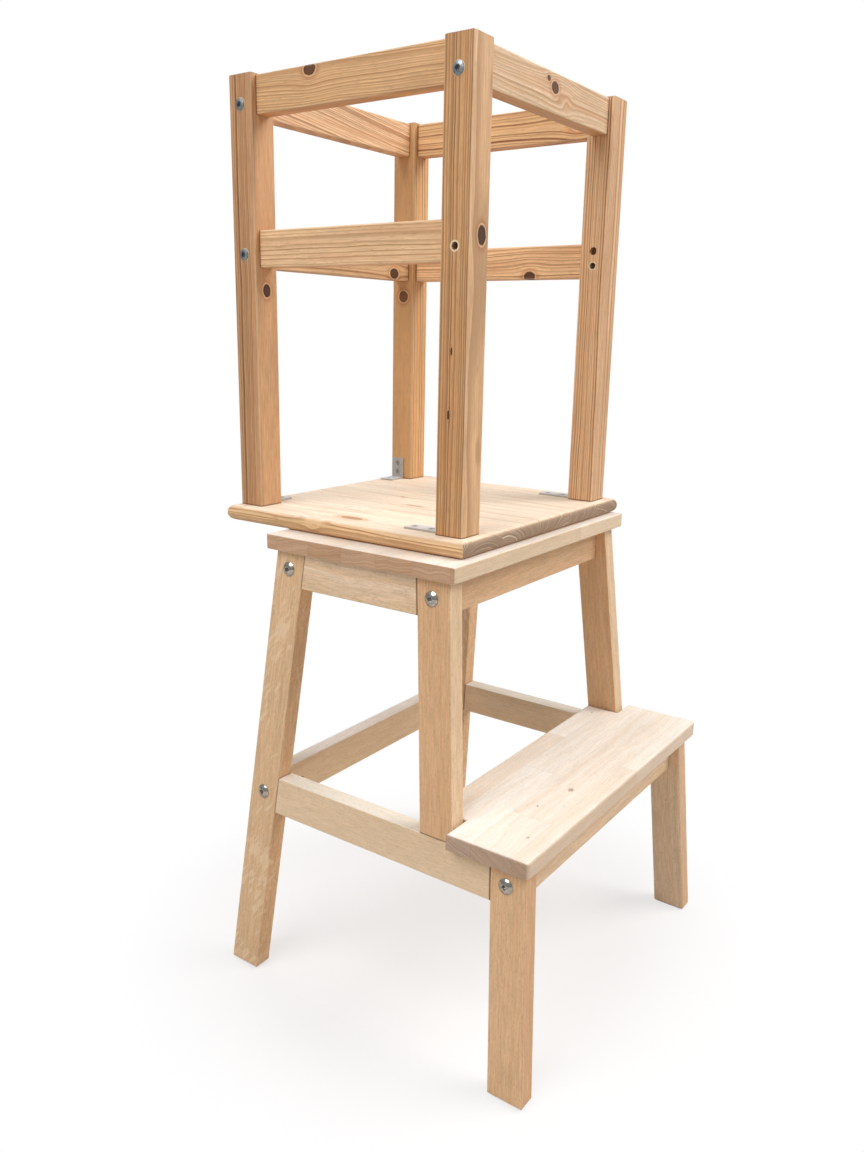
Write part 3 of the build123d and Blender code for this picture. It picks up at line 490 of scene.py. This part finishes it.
# -------------------------------------------------------------------------------------------------
# Dowels
# Plain beech pins with chamfered ends, 8 mm and 6 mm thick, glued into both pieces of a joint, out
# of sight.
# -------------------------------------------------------------------------------------------------
for piece in ("cross_rail_dowels", "side_frame_dowels", "guard_cross_dowels"):
    lacquered_beech(piece, (0, 0, 0), (1, 0, 0), (0, 0, 1))
lacquered_beech("guard_side_dowels", (0, 0, 0), (0, 1, 0), (0, 0, 1))


# -------------------------------------------------------------------------------------------------
# Bolts and barrel nuts of the step stool
# Low domed heads with a hexagon socket, bright nickel plate on steel, drawn up against the legs.
# Their barrel nuts lie in cross holes in the rails.
# -------------------------------------------------------------------------------------------------
def plated_steel(name, colour, dull, rough, mottle, metal=1.0, upright="#FFFFFF"):
    """Plated steel: a metal's plain reflection, clouded where the plating is thin or handled, with
    fine scratches; on the nickel the darker clouds also stand partly for reflections of the
    surroundings, which is painted reflection. mottle is the size of its clouds in millimetres,
    rough its lowest and highest roughness. metal is below one where the zinc has a chalky white
    bloom over it, and upright tints the faces that stand upright darker than the flat ones, which
    is painted shade."""
    material, tree = bare_material(name)
    place = put(tree, "TexCoord").outputs["Object"]
    spot = put(tree, "VectorMath", {0: place, "Scale": 1000 / mottle}, operation="SCALE")
    cloud = {"Vector": spot, "Scale": 1.0, "Detail": 4.0, "Roughness": 0.6}
    cloud = put(tree, "TexNoise", cloud)
    # grit of 0.4 mm
    grit = put(tree, "VectorMath", {0: place, "Scale": 2500}, operation="SCALE")
    grit = put(tree, "TexNoise", {"Vector": grit, "Scale": 1.0, "Detail": 2.0})
    mix = put(tree, "MapRange", {0: cloud, 1: 0.35, 2: 0.65})
    tint = put(tree, "Mix", {"Factor": mix, "A": linear(dull), "B": linear(colour)}, **blend)
    # faces that stand upright are tinted darker than the flat ones: painted shade
    rise = put(tree, "SeparateXYZ", {0: put(tree, "NewGeometry").outputs["Normal"]})
    rise = put(tree, "Math", {0: rise.outputs["Z"]}, operation="ABSOLUTE")
    rise = put(tree, "MapRange", {0: rise, 1: 0.3, 2: 0.7})
    painted_upright_shade = {"Factor": rise, "A": linear(upright), "B": linear("#FFFFFF")}
    painted_upright_shade = put(tree, "Mix", painted_upright_shade, **blend)
    tint = put(tree, "VectorMath", {0: tint, 1: painted_upright_shade}, operation="MULTIPLY")
    smoothest, roughest = rough
    sheen = put(tree, "MapRange", {0: cloud, 1: 0.35, 2: 0.65, 3: roughest, 4: smoothest})
    bump = put(tree, "Bump", {"Height": grit, "Strength": 0.15, "Distance": 0.00006})
    inputs = {"Base Color": tint, "Metallic": metal, "Roughness": sheen, "Normal": bump}
    put(tree, "OutputMaterial", {"Surface": put(tree, "BsdfPrincipled", inputs)})
    return material


# the nickel's darker clouds are partly painted reflection of the surroundings on the bolt heads and
# partly thin plating
nickel = plated_steel("nickel_plated_steel", "#CFCBC5", "#A5A19B", (0.12, 0.26), 2.4)
dress(("stool_bolts", "stool_barrel_nuts"), nickel)

# -------------------------------------------------------------------------------------------------
# Wood screws of the stool and the platform
# Countersunk zinc-plated screws, driven up through the rails into the top board and the tread, and
# through the top board into the platform above it.
# -------------------------------------------------------------------------------------------------
zinc = plated_steel("zinc_plated_steel", "#B4B8BA", "#84898C", (0.34, 0.5), 2.2)
dress(("top_board_screws", "tread_screws", "platform_screws"), zinc)


# -------------------------------------------------------------------------------------------------
# Standing platform
# The seat board of a small pine stool, glued up from wide strips and rounded along its edges. It is
# screwed down on the top board, and years of use have left its upper face paler than its edges.
# -------------------------------------------------------------------------------------------------
def planed_pine(
    piece,
    middle,
    along,
    face,
    size,
    stem=(90, 0),
    year=3.5,
    slope=0.0,
    bend=7.0,
    knots=(),
    rims=(),
    strips=None,
    early="#E6BC8E",
    late="#8C5529",
    bleach=0.0,
    wide="#FFFFFF",
    narrow="#FFFFFF",
    fuzz=0.18,
    ripe=1.0,
    blotch=0.42,
    joined=(),
):
    """Planed pine, lacquered thinly and yellowed with age: soft pale early wood that turns
    gradually into a hard dark line each year, knots that the grain flows round, and fine fibres.
    Lengths are in millimetres. size is the board's length, width and thickness, and joined the
    ends, -1 or 1, that meet a neighbour, where a thin line of painted shade is laid. stem is the
    tree's pith across the board, year the width of a ring, ripe that of its dark late wood, slope
    the run of the grain out of true, and bend how far the rings wander. early and late are the
    two woods' colours, wide and narrow tint the faces with painted light and shade, darker on the
    faces meant to look less lit, fuzz is how strongly the fibres show, blotch how strongly
    reddish patches do, and bleach how far the upper face is washed out. A knot is the axis it lies
    along, its place along the board and across it, its radius, its stretch along the grain, and
    how dark it is; a dark of nought only bends the grain, and the first dark one sets it for the
    others. rims are the pale edges round holes and bolt heads: place along and across, inner and
    outer radius. strips are the glued strips of a wide board: their width, the first one's edge,
    and for each its own pith and its lightness."""
    material, tree = bare_material("planed_pine_" + piece)
    turn = board_axes(along, face)
    axis = turn.to_matrix().col
    board, spot = board_space(tree, middle, turn)
    axes = put(tree, "SeparateXYZ", {0: board})
    true_y = axes.outputs["Y"]
    sloping = put(tree, "Math", {0: axes, 1: slope, 2: true_y}, operation="MULTIPLY_ADD")
    across = {"y": sloping.outputs[0], "z": axes.outputs["Z"]}
    dark_knots = [knot for knot in knots if knot[5]]
    if dark_knots:
        ragged = put(tree, "VectorMath", {0: spot, "Scale": 1 / 3.2}, operation="SCALE")
        ragged = put(tree, "TexNoise", {"Vector": ragged, "Scale": 1.0, "Detail": 2.0})
        deep = 9.0  # distance from the nearest of them in its radii; at nine, clear of any
    for way, x, t, radius, stretch, dark in knots:
        # the grain keeps its course far from a knot, and is pushed aside close to it
        other = "z" if way == "y" else "y"
        mask = (1 / stretch, 1.0 if other == "y" else 0.0, 1.0 if other == "z" else 0.0)
        shift = (-x / stretch, -t if other == "y" else 0.0, -t if other == "z" else 0.0)
        off = put(tree, "VectorMath", {0: board, 1: mask, 2: shift}, operation="MULTIPLY_ADD")
        away = put(tree, "VectorMath", {0: off}, operation="LENGTH")
        square = put(tree, "Math", {0: away, 1: away}, operation="MULTIPLY")
        spread = put(tree, "Math", {0: square, 1: (1.7 * radius) ** 2})
        keep = put(tree, "Math", {0: square, 1: spread}, operation="DIVIDE")
        step = put(tree, "Math", {0: across[other], 1: t}, operation="SUBTRACT")
        step = put(tree, "Math", {0: step, 1: keep, 2: t}, operation="MULTIPLY_ADD")
        across[other] = step.outputs[0]
        if dark:
            edge = {0: ragged, 1: 0.24 * radius, 2: away}
            edge = put(tree, "Math", edge, operation="MULTIPLY_ADD")
            edge = put(tree, "Math", {0: edge, 1: 1 / radius, 2: -0.12}, operation="MULTIPLY_ADD")
            deep = put(tree, "Math", {0: edge, 1: deep}, operation="MINIMUM")
    grain = put(tree, "CombineXYZ", {1: across["y"], 2: across["z"]})
    # each strip of a wide board comes from another place in the tree
    tone = None
    if strips:
        width, edge, rows = strips
        rows = [(y / 500 + 0.5, z / 500 + 0.5, light / 2) for y, z, light in rows]
        row, rank, strip = strip_rows(tree, true_y, width, edge, rows)
        stem_y, stem_z = unpacked(tree, strip), unpacked(tree, strip.outputs["Y"])
        tone = put(tree, "Math", {0: strip.outputs["Z"], 1: 2.0}, operation="MULTIPLY")
        pith = put(tree, "CombineXYZ", {1: stem_y, 2: stem_z})
        chance = put(tree, "TexWhiteNoise", {"W": rank}, noise_dimensions="1D").outputs["Color"]
        moved = {0: chance, 1: (500, 90, 90), 2: spot}
        spot = put(tree, "VectorMath", moved, operation="MULTIPLY_ADD")
        grain = put(tree, "VectorMath", {0: grain, 1: pith}, operation="SUBTRACT")
    else:
        grain = put(tree, "VectorMath", {0: grain, 1: (0, *stem)}, operation="SUBTRACT")
    # the rings round the pith wander along the board, and no two years are equally wide or dark
    slow = put(tree, "VectorMath", {0: spot, 1: (1 / 170, 1 / 48, 1 / 48)}, operation="MULTIPLY")
    wander = put(tree, "TexNoise", {"Vector": slow, "Scale": 1.0, "Detail": 2.0}).outputs["Color"]
    grain = {0: wander, 1: (0, bend, bend), 2: grain}
    grain = put(tree, "VectorMath", grain, operation="MULTIPLY_ADD")
    radius = put(tree, "VectorMath", {0: grain}, operation="LENGTH")
    uneven = {"W": radius, "Scale": 0.13, "Detail": 1.0}
    uneven = put(tree, "TexNoise", uneven, noise_dimensions="1D")
    count = put(tree, "Math", {0: radius, 1: 1 / year}, operation="MULTIPLY")
    count = put(tree, "Math", {0: uneven, 1: 2.2, 2: count}, operation="MULTIPLY_ADD")
    ring = put(tree, "Math", {0: count}, operation="FRACT")
    which = put(tree, "Math", {0: count}, operation="FLOOR")
    which = put(tree, "TexWhiteNoise", {"W": which}, noise_dimensions="1D")
    hard = min(0.34, ripe / year)  # share of a ring that is late wood
    starts, half_way, ripest = 1 - 2.2 * hard, 1 - hard, 1 - 0.2 * hard
    darkness = ((0.0, 0.0), (starts, 0.05), (half_way, 0.8), (ripest, 1.0), (1.0, 0.0))
    line = put(tree, "ValToRGB", {0: ring}, [(p, (v, v, v, 1)) for p, v in darkness])
    strong = put(tree, "MapRange", {0: which, 3: 0.4, 4: 1.0})
    line = put(tree, "Math", {0: line, 1: strong}, operation="MULTIPLY")
    # a face that runs along the rings shows them broad and soft
    normal = put(tree, "NewGeometry").outputs["Normal"]
    lift = put(tree, "VectorMath", {0: normal, 1: axis[1]}, operation="DOT_PRODUCT")
    tilt = put(tree, "VectorMath", {0: normal, 1: axis[2]}, operation="DOT_PRODUCT")
    look = put(tree, "CombineXYZ", {1: lift, 2: tilt})
    flat = put(tree, "VectorMath", {0: grain, 1: (0, 1, 1)}, operation="MULTIPLY")
    flat = put(tree, "VectorMath", {0: flat}, operation="NORMALIZE")
    flat = put(tree, "VectorMath", {0: flat, 1: look}, operation="DOT_PRODUCT")
    flat = put(tree, "Math", {0: flat}, operation="ABSOLUTE")
    flat = put(tree, "MapRange", {0: flat, 1: 0.85, 2: 0.99, 3: 1.0, 4: 0.5})
    line = put(tree, "Math", {0: line, 1: flat}, operation="MULTIPLY")
    # fibres 1.3 mm apart and resin dashes 10 mm long, coarser than real ones so that they show
    thread = put(tree, "VectorMath", {0: spot, 1: (1 / 28, 1 / 1.3, 1 / 1.3)}, operation="MULTIPLY")
    fibre = {"Vector": thread, "Scale": 1.0, "Detail": 3.0, "Roughness": 0.62}
    fibre = put(tree, "TexNoise", fibre)
    dash = put(tree, "VectorMath", {0: spot, 1: (1 / 10, 1 / 1.1, 1 / 1.1)}, operation="MULTIPLY")
    dash = put(tree, "TexNoise", {"Vector": dash, "Scale": 1.0, "Detail": 1.0})
    resin = put(tree, "MapRange", {0: dash, 1: 0.58, 2: 0.72, 3: 0.0, 4: 0.26})
    drift = put(tree, "VectorMath", {0: spot, 1: (1 / 120, 1 / 22, 1 / 22)}, operation="MULTIPLY")
    cloud = put(tree, "TexNoise", {"Vector": drift, "Scale": 1.0, "Detail": 3.0})
    latewood_then_edge_wear_and_highlight = put(tree, "MapRange", {0: fibre, 1: 0.3, 2: 0.7, 3: 0.65, 4: 1.25})
    latewood_then_edge_wear_and_highlight = put(tree, "Math", {0: latewood_then_edge_wear_and_highlight, 1: line}, operation="MULTIPLY", use_clamp=True)
    colour = put(tree, "Mix", {"Factor": latewood_then_edge_wear_and_highlight, "A": linear(early), "B": linear(late)}, **blend)
    # reddish patches; a face that is used and washed bleaches, but less on them and on the lines
    blush = put(tree, "VectorMath", {0: spot, 1: (1 / 150, 1 / 7, 1 / 7)}, operation="MULTIPLY")
    blush = put(tree, "TexNoise", {"Vector": blush, "Scale": 1.0, "Detail": 3.0})
    blush = put(tree, "MapRange", {0: blush, 1: 0.5, 2: 0.7, 3: 0.0, 4: blotch})
    if bleach:
        up = put(tree, "VectorMath", {0: normal, 1: (0, 0, 1)}, operation="DOT_PRODUCT")
        up = put(tree, "MapRange", {0: up, 1: 0.6, 2: 0.97, 3: 0.0, 4: bleach}, **eased)
        kept = put(tree, "Math", {0: blush, 1: -0.8, 2: 1.0}, operation="MULTIPLY_ADD")
        kept = put(tree, "Math", {0: latewood_then_edge_wear_and_highlight, 1: -0.4, 2: kept}, operation="MULTIPLY_ADD")
        up = put(tree, "Math", {0: up, 1: kept}, operation="MULTIPLY")
        colour = put(tree, "Mix", {"Factor": up, "A": colour, "B": linear("#FDEFDC")}, **blend)
    even = put(tree, "MapRange", {0: cloud, 1: 0.28, 2: 0.72, 3: 0.9, 4: 1.06})
    fine = put(tree, "MapRange", {0: fibre, 1: 0.3, 2: 0.7, 3: 1 - fuzz, 4: 1 + 0.65 * fuzz})
    shade = put(tree, "Math", {0: even, 1: fine}, operation="MULTIPLY")
    if strips:
        shade = put(tree, "Math", {0: shade, 1: tone}, operation="MULTIPLY")
    colour = put(tree, "VectorMath", {0: colour, "Scale": shade}, operation="SCALE")
    colour = put(tree, "Mix", {"Factor": resin, "A": colour, "B": linear("#8E5A2E")}, **blend)
    colour = put(tree, "Mix", {"Factor": blush, "A": colour, "B": linear("#C98F62")}, **blend)
    if dark_knots:
        # a stained halo, the knot's own brown rings, a line of bark, and a pale ring round it
        strength = dark_knots[0][5]
        halo = put(tree, "MapRange", {0: deep, 1: 0.9, 2: 2.3, 3: 0.75, 4: 0.0}, **eased)
        halo = {"Factor": halo, "A": colour, "B": linear("#D9A878")}
        stained = put(tree, "Mix", halo, **stain)
        browns = (
            (0.0, "#33200F"),
            (0.16, "#5A381F"),
            (0.34, "#432715"),
            (0.52, "#5C3B22"),
            (0.7, "#432614"),
            (0.88, "#4C2D19"),
            (1.0, "#3A2211"),
        )
        heart = [(position, linear(code)) for position, code in browns]
        heart = put(tree, "ValToRGB", {0: deep}, heart)
        inside = put(tree, "MapRange", {0: deep, 1: 1.06, 2: 0.94, 3: 0.0, 4: strength})
        colour = put(tree, "Mix", {"Factor": inside, "A": stained, "B": heart}, **blend)
        for radii, reach, core, most, code in (
            (1.0, 0.15, 0.03, 0.85 * strength, "#3E2415"),
            (1.24, 0.15, 0.05, 0.6, "#EDCFA6"),
        ):
            rim = put(tree, "Math", {0: deep, 1: radii}, operation="SUBTRACT")
            rim = put(tree, "Math", {0: rim}, operation="ABSOLUTE")
            rim = put(tree, "MapRange", {0: rim, 1: reach, 2: core, 3: 0.0, 4: most})
            colour = put(tree, "Mix", {"Factor": rim, "A": colour, "B": linear(code)}, **blend)
    # painted light and shade: the wide and narrow tints darken the faces meant to look less lit
    side = facing(tree, normal, axis[1], 0.4, 0.85)
    side = put(tree, "Mix", {"Factor": side, "A": linear(wide), "B": linear(narrow)}, **blend)
    # faces that look down are tinted darker: painted shade under the board
    down = put(tree, "VectorMath", {0: normal, 1: (0, 0, -1)}, operation="DOT_PRODUCT")
    down = put(tree, "MapRange", {0: down, 1: 0.5, 2: 0.9}, **eased)
    side = put(tree, "Mix", {"Factor": down, "A": side, "B": linear("#E9D3BC")}, **blend)
    colour = put(tree, "Mix", {"Factor": 1.0, "A": colour, "B": side}, **stain)
    # end grain: grey-brown, with the hard line of each year showing pale
    cut = facing(tree, normal, axis[0], 0.5, 0.85)
    years = {"W": radius, "Scale": 0.8, "Detail": 2.0}
    years = put(tree, "TexNoise", years, noise_dimensions="1D")
    years = put(tree, "MapRange", {0: years, 1: 0.35, 2: 0.7, 3: 0.0, 4: 0.3})
    thin = put(tree, "Math", {0: line, 1: 2.5}, operation="POWER")
    years = put(tree, "Math", {0: years, 1: thin}, operation="MAXIMUM")
    sawn = {"Factor": years, "A": linear("#7E5E44"), "B": linear("#E6D3B8")}
    sawn = put(tree, "Mix", sawn, **blend)
    colour = put(tree, "Mix", {"Factor": cut, "A": colour, "B": sawn}, **blend)
    # handling has polished the arrises, and their paleness is also a painted highlight where the
    # rounded edges catch the light; small dents and chips show pale
    dent = put(tree, "VectorMath", {0: spot, 1: (1 / 26, 1 / 15, 1 / 15)}, operation="MULTIPLY")
    dent = put(tree, "TexVoronoi", {"Vector": dent, "Scale": 1.0})
    chance = put(tree, "SeparateXYZ", {0: dent.outputs["Color"]})
    chance = put(tree, "Math", {0: chance, 1: 0.72}, operation="GREATER_THAN")
    chip = put(tree, "MapRange", {0: dent, 1: 0.06, 2: 0.03, 3: 0.0, 4: 0.6})
    chip = put(tree, "Math", {0: chip, 1: chance}, operation="MULTIPLY")
    length, width, thickness = size
    latewood_then_edge_wear_and_highlight = None
    for key, half in (("Y", width / 2), ("Z", thickness / 2)):
        near = put(tree, "Math", {0: axes.outputs[key]}, operation="ABSOLUTE")
        near = put(tree, "MapRange", {0: near, 1: half - 1.8, 2: half - 0.5})
        latewood_then_edge_wear_and_highlight = put(tree, "Math", {0: latewood_then_edge_wear_and_highlight, 1: near}, operation="MULTIPLY") if latewood_then_edge_wear_and_highlight else near
    latewood_then_edge_wear_and_highlight = put(tree, "Math", {0: latewood_then_edge_wear_and_highlight, 1: cloud}, operation="MULTIPLY")
    latewood_then_edge_wear_and_highlight = put(tree, "Math", {0: latewood_then_edge_wear_and_highlight, 1: 0.6}, operation="MULTIPLY")
    pale = put(tree, "Math", {0: latewood_then_edge_wear_and_highlight, 1: chip}, operation="MAXIMUM")
    for x, y, inner, outer in rims:
        off = {0: board, 1: (1, 1, 0), 2: (-x, -y, 0)}
        off = put(tree, "VectorMath", off, operation="MULTIPLY_ADD")
        off = put(tree, "VectorMath", {0: off}, operation="LENGTH")
        fresh = put(tree, "MapRange", {0: off, 1: outer + 0.3, 2: outer - 0.3, 3: 0.0, 4: 0.8})
        inside = put(tree, "Math", {0: off, 1: inner}, operation="GREATER_THAN")
        fresh = put(tree, "Math", {0: fresh, 1: inside}, operation="MULTIPLY")
        pale = put(tree, "Math", {0: pale, 1: fresh}, operation="MAXIMUM")
    colour = put(tree, "Mix", {"Factor": pale, "A": colour, "B": linear("#F1DDBE")}, **blend)
    # a thin line of painted shade at the ends that meet a neighbour
    joints = [(end * length / 2, 0) for end in joined]
    colour = shade_painted_joints(tree, board, colour, joints, "#6A4426")
    relief = put(tree, "Math", {0: line, 1: 0.5, 2: fibre}, operation="MULTIPLY_ADD")
    relief = put(tree, "Math", {0: chip, 1: -1.5, 2: relief}, operation="MULTIPLY_ADD")
    lacquer(tree, colour, relief, 0.2, fibre, 0.62)
    dress((piece,), material)


planed_pine(
    "platform",
    (14.5, 60.5, 508.5),
    (0, 1, 0),
    (0, 0, 1),
    (313, 332, 17),
    year=2.6,
    ripe=0.7,
    bend=6.0,
    fuzz=0.1,
    blotch=0.25,
    early="#EDC596",
    late="#A46B3A",
    knots=(
        ("z", 1.5, 137.5, 5.0, 2.6, 0.3),
        ("z", 39.5, -1.5, 1.6, 2.0, 0.8),
        ("z", -6.0, 37.5, 1.6, 7.0, 0.6),
        ("y", 31.0, 3.0, 7.0, 1.0, 0.0),
    ),
    strips=(
        70,
        166,
        ((132, -48, 1.0), (93, -32, 0.98), (-40, -38, 1.02), (-150, -60, 0.99), (-95, -90, 1.0)),
    ),
    bleach=0.82,
)

# -------------------------------------------------------------------------------------------------
# Posts of the guard
# The four legs of the small pine stool, turned up: square, planed, standing on the platform. Bolt
# holes run through them, and the two front ones keep an empty bolt hole and dowel hole for a
# missing rail.
# -------------------------------------------------------------------------------------------------
guard_left, guard_right, guard_front, guard_back = -122, 149, -69.25, 193.25  # posts' middles
post_middle = 733.5  # above the floor
upright = ((0, 0, 1), (-1, 0, 0), (433, 31, 31))
foot = (-1,)
# pale rims round the bolt heads of the top rails and the middle rails
top_bolt, mid_bolt = (188.25, 0, 5.6, 6.5), (45.75, 0, 5.6, 6.5)
planed_pine(
    "guard_post_front_left",
    (guard_left, guard_front, post_middle),
    *upright,
    stem=(90, -5),
    year=3.6,
    bend=4,
    early="#DFB68B",
    late="#5F3211",
    wide="#F6E7D2",
    narrow="#FBF8F4",
    fuzz=0.22,
    joined=foot,
    knots=(
        ("y", 55.5, -4, 6.0, 1.3, 1.0),
        ("z", -45, 1, 0.9, 4.0, 0.7),
        ("z", -102, 3, 1.2, 3.5, 0.7),
    ),
    rims=(top_bolt, (45.75, 0, 3.5, 5.0)),
)
planed_pine(
    "guard_post_rear_left",
    (guard_left, guard_back, post_middle),
    *upright,
    stem=(95, -14),
    year=3.7,
    bend=5,
    early="#D6A679",
    late="#6A3A17",
    wide="#F3EFEC",
    fuzz=0.24,
    joined=foot,
    knots=(("y", 10.5, 0, 4.9, 1.25, 1.0),),
    rims=(top_bolt, mid_bolt),
)
planed_pine(
    "guard_post_rear_right",
    (guard_right, guard_back, post_middle),
    *upright,
    stem=(0, -78.7),
    year=3.2,
    bend=3,
    knots=(("z", 14.5, -1.2, 6.3, 1.0, 0.65),),
    rims=(top_bolt, mid_bolt),
    early="#EFB97F",
    late="#6C3A17",
    fuzz=0.2,
    joined=foot,
)
# its early wood is paler than the other posts' so that its inner face, which gets less light, looks
# as bright as theirs: painted light
planed_pine(
    "guard_post_front_right",
    (guard_right, guard_front, post_middle),
    *upright,
    stem=(70, 70),
    year=2.2,
    early="#F2C79A",
    late="#8E582B",
    narrow="#F4F2F4",
    joined=foot,
    rims=(top_bolt, (45.75, 0, 3.5, 4.6)),
)

# -------------------------------------------------------------------------------------------------
# Side rails of the guard
# Pine bars between front and rear post on either side, one at the top and one in the middle, each
# held by two slim dowels and glue at both ends.
# -------------------------------------------------------------------------------------------------
guard_depth_middle = 62
top_level, mid_level = 930.25, 784.75  # the rails' middles above the floor
both_ends = (-1, 1)
sideways = ((0, -1, 0), (-1, 0, 0), (231.5, 36.5, 18))
planed_pine(
    "guard_top_rail_left",
    (guard_left, guard_depth_middle, top_level),
    *sideways,
    joined=both_ends,
    stem=(-90, 0),
    year=2.6,
    slope=0.03,
    early="#EBBD8C",
    late="#AA784A",
    knots=(("z", -44, 14.2, 5.2, 1.3, 0.85),),
)
planed_pine(
    "guard_mid_rail_left",
    (guard_left, guard_depth_middle, mid_level),
    *sideways,
    joined=both_ends,
    stem=(-160, 20),
    year=4.4,
    early="#F0C89C",
    late="#A87444",
)
planed_pine(
    "guard_top_rail_right",
    (guard_right, guard_depth_middle, top_level),
    *sideways,
    joined=both_ends,
    stem=(-60, 20),
    year=3.6,
    knots=(("z", 104, 0, 8.0, 1.3, 0.8),),
    early="#EFC18D",
    late="#854B20",
)
planed_pine(
    "guard_mid_rail_right",
    (guard_right, guard_depth_middle, mid_level),
    *sideways,
    joined=both_ends,
    stem=(-75, 0),
    year=3.5,
    early="#FACD9C",
    knots=(("z", 48, -15.2, 5.2, 1.3, 0.9),),
)

# -------------------------------------------------------------------------------------------------
# Rails across the guard
# Pine bars between left and right post: two at the top and one in the middle at the back. Each has
# a bolt and a dowel at either end; the middle rail in front is left out as the way in.
# -------------------------------------------------------------------------------------------------
guard_width_middle = 13.5
crossways = ((1, 0, 0), (0, -1, 0), (240, 36.5, 18))
planed_pine(
    "guard_top_rail_front",
    (guard_width_middle, guard_front, top_level),
    *crossways,
    joined=both_ends,
    stem=(-60, -60),
    year=2.2,
    early="#E3C3A1",
    late="#B98B5E",
    knots=(
        ("z", -11.5, 10.7, 2.4, 1.3, 0.9),
        ("z", 1.5, 4.7, 5.0, 1.3, 1.0),
        ("z", 14.0, -3.0, 4.0, 0.8, 0.0),
        ("z", 26.0, -8.0, 5.0, 0.9, 0.0),
    ),
)
planed_pine(
    "guard_top_rail_back",
    (guard_width_middle, guard_back, top_level),
    *crossways,
    joined=both_ends,
    stem=(-90, 0),
    year=3.1,
    slope=0.1,
    early="#F6CBA0",
    late="#925B2C",
)
planed_pine(
    "guard_mid_rail_back",
    (guard_width_middle, guard_back, mid_level),
    *crossways,
    joined=both_ends,
    stem=(-80, 10),
    year=4.2,
    knots=(("z", 90.5, -10.7, 5.6, 1.4, 1.0),),
)

# -------------------------------------------------------------------------------------------------
# Bolts and barrel nuts of the guard
# Flat-headed furniture bolts with a hexagon socket, in dull zinc plate. Their heads lie on the
# posts' outer faces and stand 1.8 mm proud of them.
# -------------------------------------------------------------------------------------------------
dress(("guard_bolts", "guard_barrel_nuts"), zinc)

# -------------------------------------------------------------------------------------------------
# Angle brackets and their screws
# Bent strips of zinc-plated steel that hold the posts down on the platform, two screws in each leg.
# -------------------------------------------------------------------------------------------------
# the upright faces of the brackets and their screws are tinted darker than the flat ones: painted
# shade
for pieces, name, colour, dull, rough, mottle, metal, upright in (
    (
        ("front_brackets", "rear_brackets"),
        "zinc_plated_strip",
        "#F3F3F2",
        "#E2E1DF",
        (0.3, 0.45),
        9.0,
        0.3,
        "#C9C3BC",
    ),
    (
        ("bracket_screws",),
        "zinc_plated_screw",
        "#D2D3D3",
        "#B4B5B6",
        (0.28, 0.42),
        2.2,
        0.6,
        "#D8D4CF",
    ),
):
    dress(pieces, plated_steel(name, colour, dull, rough, mottle, metal, upright))
